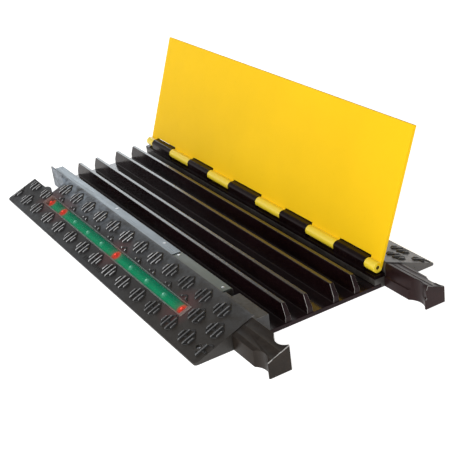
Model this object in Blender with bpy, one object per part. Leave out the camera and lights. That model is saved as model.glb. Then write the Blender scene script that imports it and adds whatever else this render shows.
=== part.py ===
"""Five channel cable protector ramp with hinged lid, warning light strip and dog-bone connectors."""

import math

import bmesh
import bpy
from mathutils import Matrix, Vector

# ---------------------------------------------------------------- driving dimensions (metres)
MM = 0.001
LENGTH = 914.0 * MM
WIDTH = 502.0 * MM
RIDGE_Z = 48.0 * MM
EDGE_Z = 3.5 * MM
GAP = 0.3 * MM

RAMP_RISE_Y = 112.0 * MM
RAMP_RISE_Z = 46.2 * MM
RIDGE_Y = 120.0 * MM
LEDGE_Z = 39.6 * MM
WALL_FRONT_Y = 147.0 * MM
WALL_REAR_Y = 366.0 * MM

FLOOR_Z = 8.0 * MM
TONGUE = 14.0 * MM
DIVIDER_OFFSETS = (-72.0 * MM, -27.5 * MM, 27.5 * MM, 72.0 * MM)
DIVIDER_TOP_Z = 40.3 * MM
DIVIDER_TOP_W = 7.0 * MM
DIVIDER_FOOT_W = 12.0 * MM
DIVIDER_INSET = 2.0 * MM
DIVIDER_NOSE_Z = 19.0 * MM
DIVIDER_NOSE_X = 13.0 * MM

HINGE_Y = 378.5 * MM
HINGE_Z = 38.0 * MM
BARREL_R = 10.0 * MM
PIN_R = 3.5 * MM
BORE_R = 3.8 * MM
END_KNUCKLE = 33.6 * MM
RAIL_KNUCKLE = 92.6 * MM
LID_KNUCKLE = 91.0 * MM
MID_KNUCKLE = 112.4 * MM
KNUCKLE_GAP = 0.5 * MM
RAIL_FOOT_Z = 20.3 * MM
RAIL_TOP_Z = 26.5 * MM
RAIL_REAR_Y = 388.5 * MM
KNUCKLE_BACK = 8.0 * MM
KNUCKLE_EASE = 1.4 * MM
KNUCKLE_TOP_Z = 47.5 * MM

LID_LENGTH = 904.0 * MM
LID_THICKNESS = 7.0 * MM
LID_FREE_Y = 120.8 * MM
LID_OPEN_DEG = 110.5
LID_RELIEF = 14.2 * MM

SHELF_Z = 20.0 * MM
BACK_WALL_Y = 389.3 * MM
BACK_WALL_Z = 37.4 * MM
REAR_RIDGE_Y = 392.5 * MM
REAR_RIDGE_Z = 45.6 * MM

ARM_Y0 = 73.5 * MM
ARM_Y1 = 115.5 * MM
ARM_REACH = 111.0 * MM
ARM_DROP = 1.0 * MM
ARM_RAIL_STEP = 3.0 * MM
SCOOP_R = 29.6 * MM
SCOOP_X = 86.75 * MM
SCOOP_SET = 20.6 * MM
SOCKET_CLEAR = 1.2 * MM
ROOT_Y0 = 77.0 * MM
ROOT_Y1 = 112.0 * MM
ROOT_Z = 22.0 * MM
ROOT_LENGTH = 60.0 * MM

LIGHT_U0 = 45.8 * MM
LIGHT_U1 = 72.8 * MM
LIGHT_HALF = 332.0 * MM
LIGHT_DEPTH = 9.0 * MM
LENS_HALF = 322.0 * MM
LENS_SKIN = 3.0 * MM
LENS_LEG = 2.5 * MM
LENS_PROUD = 0.4 * MM
BOARD_HALF = 320.0 * MM
BOARD_W = 20.6 * MM
BOARD_T = 1.6 * MM
LED_PITCH = 69.7 * MM
LED_ROW_X = -4.0 * MM
LED_R = 4.5 * MM
LED_RED = (0, 1, 5, 9)
LED_COUNT = 10

STRIP_X1 = 148.0 * MM
STRIP_Y0 = 122.0 * MM
STRIP_Y1 = 145.5 * MM
POCKET_Z = 38.4 * MM
STRIP_Z1 = 40.1 * MM
STRIP_SCREWS = (-129.0 * MM, 93.0 * MM)
STRIP_SCREW_Y = 138.0 * MM
PLATE_X0 = 153.0 * MM
PLATE_X1 = 339.0 * MM
RIVETS = (159.0 * MM, 326.0 * MM)
RIVET_Y = 135.0 * MM
DRIVER_X0 = 172.0 * MM
DRIVER_X1 = 314.0 * MM
DRIVER_Y0 = 123.5 * MM
DRIVER_Y1 = 143.0 * MM
DRIVER_Z = 15.0 * MM
LEAD_X = 296.0 * MM
LEAD_Z = 23.3 * MM
LEAD_R = 1.8 * MM
LEAD_Y0 = 68.2 * MM
LEAD_CUT_Y0 = 66.0 * MM
NOTCH_X0 = 341.0 * MM
NOTCH_X1 = 363.0 * MM
NOTCH_Y0 = 131.0 * MM
NOTCH_Z = 25.0 * MM

CORNER_SCREW = (427.0 * MM, 26.0 * MM)
FRONT_SCREW_X = (-400.0 * MM, -220.0 * MM, -40.0 * MM, 130.0 * MM, 400.0 * MM)
FRONT_SCREW_Y = 140.0 * MM
REAR_SCREW_Y = 371.5 * MM
ARM_SCREW_X = (-45.0 * MM, -17.0 * MM)
SCREW_R = 2.2 * MM
HEAD_R = 4.5 * MM
HEAD_H = 3.0 * MM
SOCKET_R = 1.9 * MM

HALF_L = LENGTH / 2
HALF_W = WIDTH / 2
SLOPE = math.atan2(RAMP_RISE_Z - EDGE_Z, RAMP_RISE_Y)

# ---------------------------------------------------------------- colours
BLACK = (0.035, 0.033, 0.034)
CHANNEL = (0.020, 0.016, 0.018)
YELLOW = (0.93, 0.56, 0.010)
STEEL = (0.55, 0.56, 0.58)


def material(name, colour, roughness, metallic=0.0):
    mat = bpy.data.materials.new(name)
    mat.use_nodes = True
    shader = mat.node_tree.nodes["Principled BSDF"]
    shader.inputs["Base Color"].default_value = (*colour, 1.0)
    shader.inputs["Roughness"].default_value = roughness
    shader.inputs["Metallic"].default_value = metallic
    return mat


def finish(bm, name, look=None, origin=(0.0, 0.0, 0.0), smooth=False):
    """Turn a bmesh built in row-edge coordinates (Y from the front edge) into a placed object."""
    bmesh.ops.remove_doubles(bm, verts=bm.verts, dist=0.00001)
    bmesh.ops.recalc_face_normals(bm, faces=bm.faces)
    shift = Vector((-origin[0], -origin[1], -origin[2]))
    bmesh.ops.translate(bm, verts=bm.verts, vec=shift)
    for face in bm.faces:
        face.smooth = smooth
    mesh = bpy.data.meshes.new(name)
    bm.to_mesh(mesh)
    bm.free()
    obj = bpy.data.objects.new(name, mesh)
    obj.location = (origin[0], origin[1] - HALF_W, origin[2])
    bpy.context.scene.collection.objects.link(obj)
    if look:
        mesh.materials.append(material(name, *look))
    return obj


def add_prism(bm, outline, start, end, axis="x"):
    """Extrude a closed outline: (y, z) pairs along X, or (x, y) pairs along Z."""
    if axis == "x":
        ring = [bm.verts.new((start, a, b)) for a, b in outline]
        sweep = Vector((end - start, 0.0, 0.0))
    else:
        ring = [bm.verts.new((a, b, start)) for a, b in outline]
        sweep = Vector((0.0, 0.0, end - start))
    face = bm.faces.new(ring)
    result = bmesh.ops.extrude_face_region(bm, geom=[face], use_keep_orig=True)
    moved = [item for item in result["geom"] if isinstance(item, bmesh.types.BMVert)]
    bmesh.ops.translate(bm, verts=moved, vec=sweep)


def prism(name, outline, start, end, look=None, axis="x", origin=(0.0, 0.0, 0.0)):
    bm = bmesh.new()
    add_prism(bm, outline, start, end, axis)
    return finish(bm, name, look, origin)


def box_outline(a0, a1, b0, b1):
    return [(a0, b0), (a1, b0), (a1, b1), (a0, b1)]


def lathe(name, profile, base, look=None, axis="z", segments=16):
    """Spin a (radius, height) profile about an axis through base."""
    bm = bmesh.new()
    points = [bm.verts.new((radius, 0.0, height)) for radius, height in profile]
    edges = [bm.edges.new(pair) for pair in zip(points, points[1:])]
    bmesh.ops.spin(
        bm,
        geom=points + edges,
        cent=(0.0, 0.0, 0.0),
        axis=(0.0, 0.0, 1.0),
        angle=2.0 * math.pi,
        steps=segments,
    )
    bmesh.ops.remove_doubles(bm, verts=bm.verts, dist=0.00002)
    turn = {
        "z": Matrix.Identity(4),
        "x": Matrix.Rotation(math.pi / 2, 4, "Y"),
        "y": Matrix.Rotation(-math.pi / 2, 4, "X"),
        "slope": Matrix.Rotation(SLOPE, 4, "X"),
    }[axis]
    bmesh.ops.transform(bm, matrix=turn, verts=bm.verts)
    bmesh.ops.translate(bm, verts=bm.verts, vec=Vector(base))
    obj = finish(bm, name, look, smooth=True)
    shade_by_angle(obj)
    return obj


def shade_by_angle(obj, limit_deg=35.0):
    """Smooth the round faces and keep edges sharper than the limit crisp."""
    bm = bmesh.new()
    bm.from_mesh(obj.data)
    limit = math.radians(limit_deg)
    for face in bm.faces:
        face.smooth = True
    for edge in bm.edges:
        edge.smooth = len(edge.link_faces) == 2 and edge.calc_face_angle(0.0) < limit
    bm.to_mesh(obj.data)
    bm.free()


def rod(radius, start, end):
    return [(0.0, start), (radius, start), (radius, end), (0.0, end)]


def bevel(obj, width, segments=2, angle_deg=30.0):
    mod = obj.modifiers.new("edge_break", "BEVEL")
    mod.width = width
    mod.segments = segments
    mod.limit_method = "ANGLE"
    mod.angle_limit = math.radians(angle_deg)
    return mod


def combine(target, tool, operation):
    mod = target.modifiers.new(operation.lower(), "BOOLEAN")
    mod.operation = operation
    mod.solver = "EXACT"
    mod.object = tool
    tool.hide_render = True
    tool.display_type = "WIRE"
    return mod


def settle(obj):
    """Apply the modifier stack and drop the tools it used."""
    graph = bpy.context.evaluated_depsgraph_get()
    graph.update()
    mesh = bpy.data.meshes.new_from_object(obj.evaluated_get(graph))
    tools = [mod.object for mod in obj.modifiers if mod.type == "BOOLEAN"]
    obj.modifiers.clear()
    old = obj.data
    obj.data = mesh
    bpy.data.meshes.remove(old)
    for tool in tools:
        bpy.data.objects.remove(tool)
    mesh.name = obj.name


def cut(target, *tools):
    for tool in tools:
        combine(target, tool, "DIFFERENCE")


def mirror_y(outline):
    return [(a, WIDTH - b) for a, b in outline]


def slope_point(along, lift):
    """(y, z) on the front ramp face: distance up the slope and height above it."""
    return (
        along * math.cos(SLOPE) - lift * math.sin(SLOPE),
        EDGE_Z + along * math.sin(SLOPE) + lift * math.cos(SLOPE),
    )


def slope_rect(along0, along1, lift0, lift1):
    corners = ((along0, lift0), (along1, lift0), (along1, lift1), (along0, lift1))
    return [slope_point(along, lift) for along, lift in corners]


def arc(centre, radius, start_deg, end_deg, steps):
    points = []
    for step in range(steps + 1):
        angle = math.radians(start_deg + (end_deg - start_deg) * step / steps)
        points.append((centre[0] + radius * math.cos(angle), centre[1] + radius * math.sin(angle)))
    return points


def knuckle_spans():
    """(start, end, belongs_to_lid) along X from the female end."""
    spans = []
    cursor = -HALF_L
    half = [END_KNUCKLE] + [RAIL_KNUCKLE, LID_KNUCKLE] * 2
    widths = half + [MID_KNUCKLE] + half[::-1]
    for index, width in enumerate(widths):
        spans.append((cursor, cursor + width, index % 2 == 0))
        cursor += width
    return spans


def screw_tools(x, y, top, head_z=0.0):
    """Counterbored clearance hole, open at the underside."""
    profile = [
        (0.0, head_z - 2.0 * MM),
        (HEAD_R + GAP, head_z - 2.0 * MM),
        (HEAD_R + GAP, head_z + HEAD_H + GAP),
        (SCREW_R + GAP, head_z + HEAD_H + GAP),
        (SCREW_R + GAP, top + GAP),
        (0.0, top + GAP),
    ]
    return lathe("hole", profile, (x, y, 0.0))


def screw(name, x, y, top):
    """Pan head screw driven from the underside, with a hex socket."""
    inner = 0.4 * MM
    profile = [
        (0.0, inner + 1.4 * MM),
        (SOCKET_R, inner + 1.4 * MM),
        (SOCKET_R, inner),
        (HEAD_R, inner),
        (HEAD_R, HEAD_H),
        (SCREW_R, HEAD_H),
        (SCREW_R, top),
        (0.0, top),
    ]
    return lathe(name, profile, (x, y, 0.0), (STEEL, 0.35, 0.9), segments=12)


# ---------------------------------------------------------------- channel base
def build_base():
    bm = bmesh.new()
    y0 = WALL_FRONT_Y - TONGUE + GAP
    y1 = WALL_REAR_Y + TONGUE - GAP
    add_prism(bm, box_outline(y0, y1, 0.0, FLOOR_Z), -HALF_L, HALF_L)
    base = finish(bm, "channel_base", (CHANNEL, 0.5))
    bevel(base, 0.8 * MM)
    centre = (WALL_FRONT_Y + WALL_REAR_Y) / 2
    for index, offset in enumerate(DIVIDER_OFFSETS):
        combine(base, divider(index, centre + offset), "UNION")
    for x in FRONT_SCREW_X:
        cut(base, screw_tools(x, FRONT_SCREW_Y, FLOOR_Z + 5.0 * MM))
    for start, end, on_lid in knuckle_spans():
        if not on_lid:
            cut(base, screw_tools((start + end) / 2, REAR_SCREW_Y, FLOOR_Z + 5.0 * MM))
    settle(base)


def divider(index, y):
    """Tapered wall with swept-back noses at both ends."""
    foot = FLOOR_Z - 1.0 * MM
    bm = bmesh.new()
    side = [
        (-HALF_L + DIVIDER_INSET, foot),
        (HALF_L - DIVIDER_INSET, foot),
        (HALF_L - DIVIDER_INSET, DIVIDER_NOSE_Z),
        (HALF_L - DIVIDER_NOSE_X, DIVIDER_TOP_Z),
        (-HALF_L + DIVIDER_NOSE_X, DIVIDER_TOP_Z),
        (-HALF_L + DIVIDER_INSET, DIVIDER_NOSE_Z),
    ]
    rise = DIVIDER_TOP_Z - foot
    near, far = [], []
    for x, z in side:
        half = DIVIDER_FOOT_W / 2 - (DIVIDER_FOOT_W - DIVIDER_TOP_W) / 2 * (z - foot) / rise
        near.append(bm.verts.new((x, y - half, z)))
        far.append(bm.verts.new((x, y + half, z)))
    bm.faces.new(near)
    bm.faces.new(list(reversed(far)))
    for i in range(len(side)):
        j = (i + 1) % len(side)
        bm.faces.new((near[j], near[i], far[i], far[j]))
    top = [
        edge
        for edge in bm.edges
        if min(v.co.z for v in edge.verts) > DIVIDER_NOSE_Z - 0.1 * MM
        and abs(edge.verts[0].co.y - edge.verts[1].co.y) < DIVIDER_TOP_W / 2
    ]
    bmesh.ops.bevel(bm, geom=top, offset=1.2 * MM, segments=2, profile=0.5, affect="EDGES")
    return finish(bm, f"divider_{index}")


# ---------------------------------------------------------------- ramps
def front_profile():
    return [
        (0.0, 0.0),
        (0.0, EDGE_Z - 0.8 * MM),
        (0.8 * MM, EDGE_Z + 0.3 * MM),
        (RAMP_RISE_Y, RAMP_RISE_Z),
        (RAMP_RISE_Y + 3.5 * MM, RIDGE_Z - 0.5 * MM),
        (RIDGE_Y - 1.0 * MM, RIDGE_Z),
        (RIDGE_Y, RIDGE_Z - 1.0 * MM),
        (RIDGE_Y, LEDGE_Z),
        (WALL_FRONT_Y - 1.0 * MM, LEDGE_Z),
        (WALL_FRONT_Y, LEDGE_Z - 1.0 * MM),
        (WALL_FRONT_Y, FLOOR_Z + GAP),
        (WALL_FRONT_Y - TONGUE, FLOOR_Z + GAP),
        (WALL_FRONT_Y - TONGUE, 0.0),
    ]


def rear_profile():
    return [
        (WALL_REAR_Y + TONGUE, 0.0),
        (WALL_REAR_Y + TONGUE, FLOOR_Z + GAP),
        (WALL_REAR_Y, FLOOR_Z + GAP),
        (WALL_REAR_Y, SHELF_Z),
        (BACK_WALL_Y, SHELF_Z),
        (BACK_WALL_Y, BACK_WALL_Z),
        (REAR_RIDGE_Y, REAR_RIDGE_Z),
        (REAR_RIDGE_Y + 1.2 * MM, REAR_RIDGE_Z + 0.3 * MM),
        (WIDTH - 0.8 * MM, EDGE_Z + 0.3 * MM),
        (WIDTH, EDGE_Z - 0.8 * MM),
        (WIDTH, 0.0),
    ]


def socket_outline():
    """Plan of the socket that takes the next unit's dog-bone arm, front side."""
    x0 = -HALF_L - 5.0 * MM
    x1 = -HALF_L + ARM_REACH + SOCKET_CLEAR
    near = ARM_Y0 - SOCKET_CLEAR
    far = ARM_Y1 + SOCKET_CLEAR
    centre_x = -HALF_L + SCOOP_X
    radius = SCOOP_R - SOCKET_CLEAR
    set_out = SCOOP_SET + SOCKET_CLEAR
    reach_deg = math.degrees(math.acos(set_out / radius))
    bump_near = arc((centre_x, near - set_out), radius, 90.0 + reach_deg, 90.0 - reach_deg, 12)
    bump_far = arc((centre_x, far + set_out), radius, 270.0 + reach_deg, 270.0 - reach_deg, 12)
    return [(x0, near)] + bump_near + [(x1, near), (x1, far)] + bump_far + [(x0, far)]


def corner_tools(front):
    """Rounded plan corners at both ends of the thin outer edge."""
    tools = []
    radius = 6.0 * MM
    for side in (-1.0, 1.0):
        outline = [(side * (HALF_L + 2.0 * MM), -2.0 * MM)]
        centre = (side * (HALF_L - radius), radius)
        start = 270.0
        end = 180.0 if side < 0 else 360.0
        outline += [(side * (HALF_L - radius), -2.0 * MM)]
        outline += arc(centre, radius, start, end, 8)
        outline += [(side * (HALF_L + 2.0 * MM), radius)]
        if not front:
            outline = mirror_y(outline)
        tools.append(prism("corner", outline, -2.0 * MM, 20.0 * MM, axis="z"))
    return tools


def root_tool(flip):
    outline = box_outline(HALF_L - ROOT_LENGTH - GAP, HALF_L + 5.0 * MM, ROOT_Y0 - GAP, ROOT_Y1 + GAP)
    if flip:
        outline = mirror_y(outline)
    return prism("root_pocket", outline, -2.0 * MM, ROOT_Z + GAP, axis="z")


def build_front_ramp():
    ramp = prism("front_ramp", front_profile(), -HALF_L, HALF_L, (BLACK, 0.72))
    cut(ramp, *corner_tools(True))
    cut(ramp, prism("socket", socket_outline(), -5.0 * MM, 60.0 * MM, axis="z"))
    cut(ramp, root_tool(False))
    light = slope_rect(LIGHT_U0, LIGHT_U1, -LIGHT_DEPTH, 4.0 * MM)
    cut(ramp, prism("light_recess", light, -LIGHT_HALF, LIGHT_HALF))
    strip = box_outline(STRIP_Y0 - GAP, STRIP_Y1 + GAP, POCKET_Z, 60.0 * MM)
    cut(ramp, prism("strip_pocket", strip, -HALF_L - 2.0 * MM, STRIP_X1 + GAP))
    cut(ramp, prism("plate_pocket", strip, PLATE_X0 - GAP, PLATE_X1 + GAP))
    driver = box_outline(DRIVER_Y0 - GAP, DRIVER_Y1 + GAP, DRIVER_Z - GAP, 60.0 * MM)
    cut(ramp, prism("driver_pocket", driver, DRIVER_X0 - GAP, DRIVER_X1 + GAP))
    notch = box_outline(NOTCH_Y0, WALL_FRONT_Y + 2.0 * MM, NOTCH_Z, 60.0 * MM)
    cut(ramp, prism("finger_notch", notch, NOTCH_X0, NOTCH_X1))
    lead = rod(LEAD_R + GAP, LEAD_CUT_Y0, DRIVER_Y0 + 2.0 * MM)
    cut(ramp, lathe("lead_bore", lead, (LEAD_X, 0.0, LEAD_Z), axis="y"))
    for x in STRIP_SCREWS:
        cut(ramp, lathe("hole", rod(1.6 * MM + GAP, 29.5 * MM, 60.0 * MM), (x, STRIP_SCREW_Y, 0.0)))
    for x in RIVETS:
        cut(ramp, lathe("hole", rod(1.5 * MM + GAP, 33.5 * MM, 60.0 * MM), (x, RIVET_Y, 0.0)))
    x, y = CORNER_SCREW
    head = [(0.0, 3.0 * MM), (2.2 * MM, 3.0 * MM), (2.2 * MM, 7.5 * MM), (5.2 * MM, 7.5 * MM)]
    head += [(5.2 * MM, 60.0 * MM), (0.0, 60.0 * MM)]
    cut(ramp, lathe("hole", head, (x, y, 0.0)))
    for x in FRONT_SCREW_X:
        cut(ramp, screw_tools(x, FRONT_SCREW_Y, 22.0 * MM))
    arm_screw_holes(ramp, False)
    settle(ramp)


def arm_screw_holes(ramp, flip):
    y = (ROOT_Y0 + ROOT_Y1) / 2
    if flip:
        y = WIDTH - y
    for x in ARM_SCREW_X:
        cut(ramp, screw_tools(HALF_L + x, y, 29.0 * MM))


def build_rear_ramp():
    ramp = prism("rear_ramp", rear_profile(), -HALF_L, HALF_L, (BLACK, 0.72))
    cut(ramp, *corner_tools(False))
    cut(ramp, prism("socket", mirror_y(socket_outline()), -5.0 * MM, 60.0 * MM, axis="z"))
    cut(ramp, root_tool(True))
    for start, end, on_lid in knuckle_spans():
        if not on_lid:
            cut(ramp, screw_tools((start + end) / 2, REAR_SCREW_Y, 30.0 * MM))
    arm_screw_holes(ramp, True)
    settle(ramp)


# ---------------------------------------------------------------- connectors
def build_connector(name, flip):
    """Dog-bone arm: tapered shank, scooped neck, square head, and a root inside the ramp."""
    slope_m = math.tan(SLOPE)
    if flip:
        y0 = WIDTH - ARM_Y1
        y1 = WIDTH - ARM_Y0
        outline = [
            (y0, 0.0),
            (y0, RAIL_FOOT_Z - ARM_DROP),
            (y0 + ARM_RAIL_STEP, RAIL_FOOT_Z + ARM_DROP),
            (y0 + ARM_RAIL_STEP, BACK_WALL_Z - ARM_DROP),
            (REAR_RIDGE_Y + 0.4 * MM, REAR_RIDGE_Z - ARM_DROP),
            (y1, EDGE_Z + (WIDTH - y1) * slope_m - ARM_DROP),
            (y1, 0.0),
        ]
    else:
        outline = [
            (ARM_Y0, 0.0),
            (ARM_Y0, EDGE_Z + ARM_Y0 * slope_m - ARM_DROP),
            (ARM_Y1 - 3.0 * MM, EDGE_Z + (ARM_Y1 - 3.0 * MM) * slope_m - ARM_DROP),
            (ARM_Y1, RIDGE_Z - 0.5 * MM - ARM_DROP),
            (ARM_Y1, 0.0),
        ]
    x0 = HALF_L + GAP
    arm = prism(name, outline, x0, HALF_L + ARM_REACH, (BLACK, 0.6))
    root = box_outline(HALF_L - ROOT_LENGTH, x0 + 1.0 * MM, ROOT_Y0, ROOT_Y1)
    if flip:
        root = mirror_y(root)
    combine(arm, prism("root", root, 0.0, ROOT_Z, axis="z"), "UNION")
    for centre_y in (ARM_Y0 - SCOOP_SET, ARM_Y1 + SCOOP_SET):
        y = WIDTH - centre_y if flip else centre_y
        scoop = rod(SCOOP_R, -5.0 * MM, 60.0 * MM)
        cut(arm, lathe("scoop", scoop, (HALF_L + SCOOP_X, y, 0.0), segments=64))
    y = (ROOT_Y0 + ROOT_Y1) / 2
    y = WIDTH - y if flip else y
    for x in ARM_SCREW_X:
        cut(arm, screw_tools(HALF_L + x, y, 29.0 * MM))
    settle(arm)


# ---------------------------------------------------------------- hinge rail and pin
def build_rail():
    y = HINGE_Y
    outline = [(WALL_REAR_Y, RAIL_FOOT_Z), (RAIL_REAR_Y, RAIL_FOOT_Z)]
    outline += [(RAIL_REAR_Y, HINGE_Z + KNUCKLE_BACK), (RAIL_REAR_Y - KNUCKLE_EASE, KNUCKLE_TOP_Z)]
    outline += arc((y, HINGE_Z), BARREL_R, 75.0, 180.0, 9)
    outline += [(y - BARREL_R, RAIL_TOP_Z), (WALL_REAR_Y, RAIL_TOP_Z)]
    rail = prism("hinge_rail", outline, -HALF_L, HALF_L, (CHANNEL, 0.38))
    for index, (start, end, on_lid) in enumerate(knuckle_spans()):
        if on_lid:
            x0 = start - KNUCKLE_GAP if index else start - 2.0 * MM
            x1 = end + KNUCKLE_GAP if end < HALF_L - 1.0 * MM else end + 2.0 * MM
            clear = box_outline(y - 15.0 * MM, y + 15.0 * MM, RAIL_TOP_Z, 60.0 * MM)
            cut(rail, prism("clear", clear, x0, x1))
        else:
            cut(rail, screw_tools((start + end) / 2, REAR_SCREW_Y, 30.0 * MM))
    bore = rod(BORE_R, -HALF_L - 2.0 * MM, HALF_L + 2.0 * MM)
    cut(rail, lathe("bore", bore, (0.0, y, HINGE_Z), axis="x"))
    settle(rail)
    shade_by_angle(rail, 20.0)


def build_pin():
    half = LID_LENGTH / 2 - 6.0 * MM
    edge = 0.5 * MM
    profile = [(0.0, -half), (PIN_R - edge, -half), (PIN_R, -half + edge)]
    profile += [(PIN_R, half - edge), (PIN_R - edge, half), (0.0, half)]
    lathe("hinge_pin", profile, (0.0, HINGE_Y, HINGE_Z), (STEEL, 0.3, 0.9), axis="x")


# ---------------------------------------------------------------- lid
def build_lid():
    """Built closed about the hinge axis, then turned open."""
    reach = HINGE_Y - LID_FREE_Y
    under = BARREL_R - LID_THICKNESS
    tangent = 180.0 - math.degrees(math.asin(under / BARREL_R))
    ease = 1.2 * MM
    outline = [(-reach + ease, under)]
    outline += arc((0.0, 0.0), BARREL_R, tangent, 450.0, 24)
    outline += [(-reach + ease, BARREL_R), (-reach, BARREL_R - ease), (-reach, under + ease)]
    half = LID_LENGTH / 2
    lid = prism("lid", outline, -half, half, (YELLOW, 0.42))
    lid.location = (0.0, 0.0, 0.0)
    tools = []
    for start, end, on_lid in knuckle_spans():
        if not on_lid:
            clear = box_outline(-LID_RELIEF, 15.0 * MM, -15.0 * MM, 15.0 * MM)
            tools.append(prism("clear", clear, start - KNUCKLE_GAP, end + KNUCKLE_GAP))
    tools.append(lathe("bore", rod(BORE_R, -half - 2.0 * MM, half + 2.0 * MM), (0.0, 0.0, 0.0), axis="x"))
    for tool in tools:
        tool.location = (0.0, 0.0, 0.0)
    cut(lid, *tools)
    settle(lid)
    lid.data.transform(Matrix.Rotation(-math.radians(LID_OPEN_DEG), 4, "X"))
    shade_by_angle(lid, 20.0)
    lid.location = (0.0, HINGE_Y - HALF_W, HINGE_Z)
    for side, sign in (("left", -1.0), ("right", 1.0)):
        outer = sign * (half - 1.0 * MM)
        inner = sign * (half - 5.0 * MM)
        profile = rod(PIN_R, min(outer, inner), max(outer, inner))
        plug = lathe(f"pin_plug_{side}", profile, (0.0, 0.0, 0.0), (YELLOW, 0.5), axis="x")
        plug.location = (0.0, HINGE_Y - HALF_W, HINGE_Z)


# ---------------------------------------------------------------- warning light unit
def build_light():
    mid = (LIGHT_U0 + LIGHT_U1) / 2
    floor = -LIGHT_DEPTH + GAP
    board_top = floor + BOARD_T
    board = slope_rect(mid - BOARD_W / 2, mid + BOARD_W / 2, floor, board_top)
    prism("led_board", board, -BOARD_HALF, BOARD_HALF, ((0.0, 0.27, 0.13), 0.45))
    u0 = LIGHT_U0 + GAP
    u1 = LIGHT_U1 - GAP
    skin = LENS_PROUD - LENS_SKIN
    lens_points = [
        (u0, floor),
        (u0 + LENS_LEG, floor),
        (u0 + LENS_LEG, skin),
        (u1 - LENS_LEG, skin),
        (u1 - LENS_LEG, floor),
        (u1, floor),
        (u1, LENS_PROUD - 0.5 * MM),
        (u1 - 0.5 * MM, LENS_PROUD),
        (u0 + 0.5 * MM, LENS_PROUD),
        (u0, LENS_PROUD - 0.5 * MM),
    ]
    outline = [slope_point(along, lift) for along, lift in lens_points]
    lens = prism("led_lens", outline, -LENS_HALF, LENS_HALF, ((0.75, 0.85, 0.80), 0.12))
    lead = rod(LEAD_R + GAP, LEAD_CUT_Y0, 90.0 * MM)
    cut(lens, lathe("lead_slot", lead, (LEAD_X, 0.0, LEAD_Z), axis="y"))
    settle(lens)
    caps = (("lens_cap_left", -LIGHT_HALF + GAP), ("lens_cap_right", LENS_HALF + GAP))
    for name, x0 in caps:
        rect = slope_rect(u0, u1, floor, LENS_PROUD + 0.3 * MM)
        cap = prism(name, rect, x0, x0 + LIGHT_HALF - LENS_HALF - 2 * GAP, ((0.70, 0.78, 0.76), 0.2))
        bevel(cap, 0.6 * MM)
        settle(cap)
    red_count = 0
    green_count = 0
    for index in range(LED_COUNT):
        x = LED_ROW_X + (index - (LED_COUNT - 1) / 2) * LED_PITCH
        if index in LED_RED:
            red_count += 1
            name = f"red_led_{red_count}"
            look = ((0.85, 0.02, 0.01), 0.25)
        else:
            green_count += 1
            name = f"green_led_{green_count}"
            look = ((0.25, 0.75, 0.45), 0.25)
        y, z = slope_point(mid, board_top + GAP)
        dome = [(0.0, 0.0), (LED_R, 0.0), (LED_R, 1.0 * MM)]
        for step in range(1, 5):
            angle = math.radians(22.5 * step)
            dome.append((LED_R * math.cos(angle), 1.0 * MM + 2.8 * MM * math.sin(angle)))
        dome[-1] = (0.0, dome[-1][1])
        lathe(name, dome, (x, y, z), look, axis="slope", segments=16)
    lead = rod(LEAD_R, LEAD_Y0, DRIVER_Y0 - 0.6 * MM)
    lathe("led_lead", lead, (LEAD_X, 0.0, LEAD_Z), ((0.05, 0.05, 0.05), 0.6), axis="y")
    driver = box_outline(DRIVER_Y0, DRIVER_Y1, DRIVER_Z, POCKET_Z - GAP)
    module = prism("led_driver", driver, DRIVER_X0, DRIVER_X1, ((0.06, 0.07, 0.08), 0.5))
    bevel(module, 0.8 * MM)
    settle(module)


# ---------------------------------------------------------------- ledge fittings
def build_ledge():
    z0 = POCKET_Z + GAP
    section = box_outline(STRIP_Y0, STRIP_Y1, z0, STRIP_Z1)
    strip = prism("ledge_strip", section, -HALF_L + 0.5 * MM, STRIP_X1, ((0.45, 0.52, 0.58), 0.35))
    plate = prism("name_plate", section, PLATE_X0, PLATE_X1, ((0.22, 0.30, 0.28), 0.4))
    bevel(strip, 0.3 * MM, 1)
    bevel(plate, 0.3 * MM, 1)
    for index, x in enumerate(STRIP_SCREWS, start=1):
        cut(strip, lathe("hole", rod(1.6 * MM + GAP, 20.0 * MM, 60.0 * MM), (x, STRIP_SCREW_Y, 0.0)))
        fastener(f"strip_screw_{index}", x, STRIP_SCREW_Y, 1.6 * MM, 30.0 * MM, 3.4 * MM)
    for index, x in enumerate(RIVETS, start=1):
        cut(plate, lathe("hole", rod(1.5 * MM + GAP, 20.0 * MM, 60.0 * MM), (x, RIVET_Y, 0.0)))
        fastener(f"plate_rivet_{index}", x, RIVET_Y, 1.5 * MM, 34.0 * MM, 3.2 * MM)
    settle(strip)
    settle(plate)
    x, y = CORNER_SCREW
    profile = [(0.0, 3.5 * MM), (1.9 * MM, 3.5 * MM), (1.9 * MM, 7.8 * MM), (4.6 * MM, 7.8 * MM)]
    profile += [(4.6 * MM, 9.6 * MM), (4.0 * MM, 10.3 * MM), (1.8 * MM, 10.3 * MM)]
    profile += [(1.8 * MM, 9.0 * MM), (0.0, 9.0 * MM)]
    lathe("corner_screw", profile, (x, y, 0.0), (STEEL, 0.35, 0.9))


def fastener(name, x, y, shank, foot, head):
    """Low domed head sitting 0.1 mm over the strip, with its shank in the ledge."""
    seat = STRIP_Z1 + 0.05 * MM
    crown = seat + 0.4 * MM
    profile = [(0.0, foot), (shank, foot), (shank, seat), (head, seat)]
    profile += [(head - 0.1 * MM, seat + 0.15 * MM), (head * 0.7, seat + 0.32 * MM), (0.0, crown)]
    return lathe(name, profile, (x, y, 0.0), (STEEL, 0.3, 0.9), segments=16)


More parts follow.
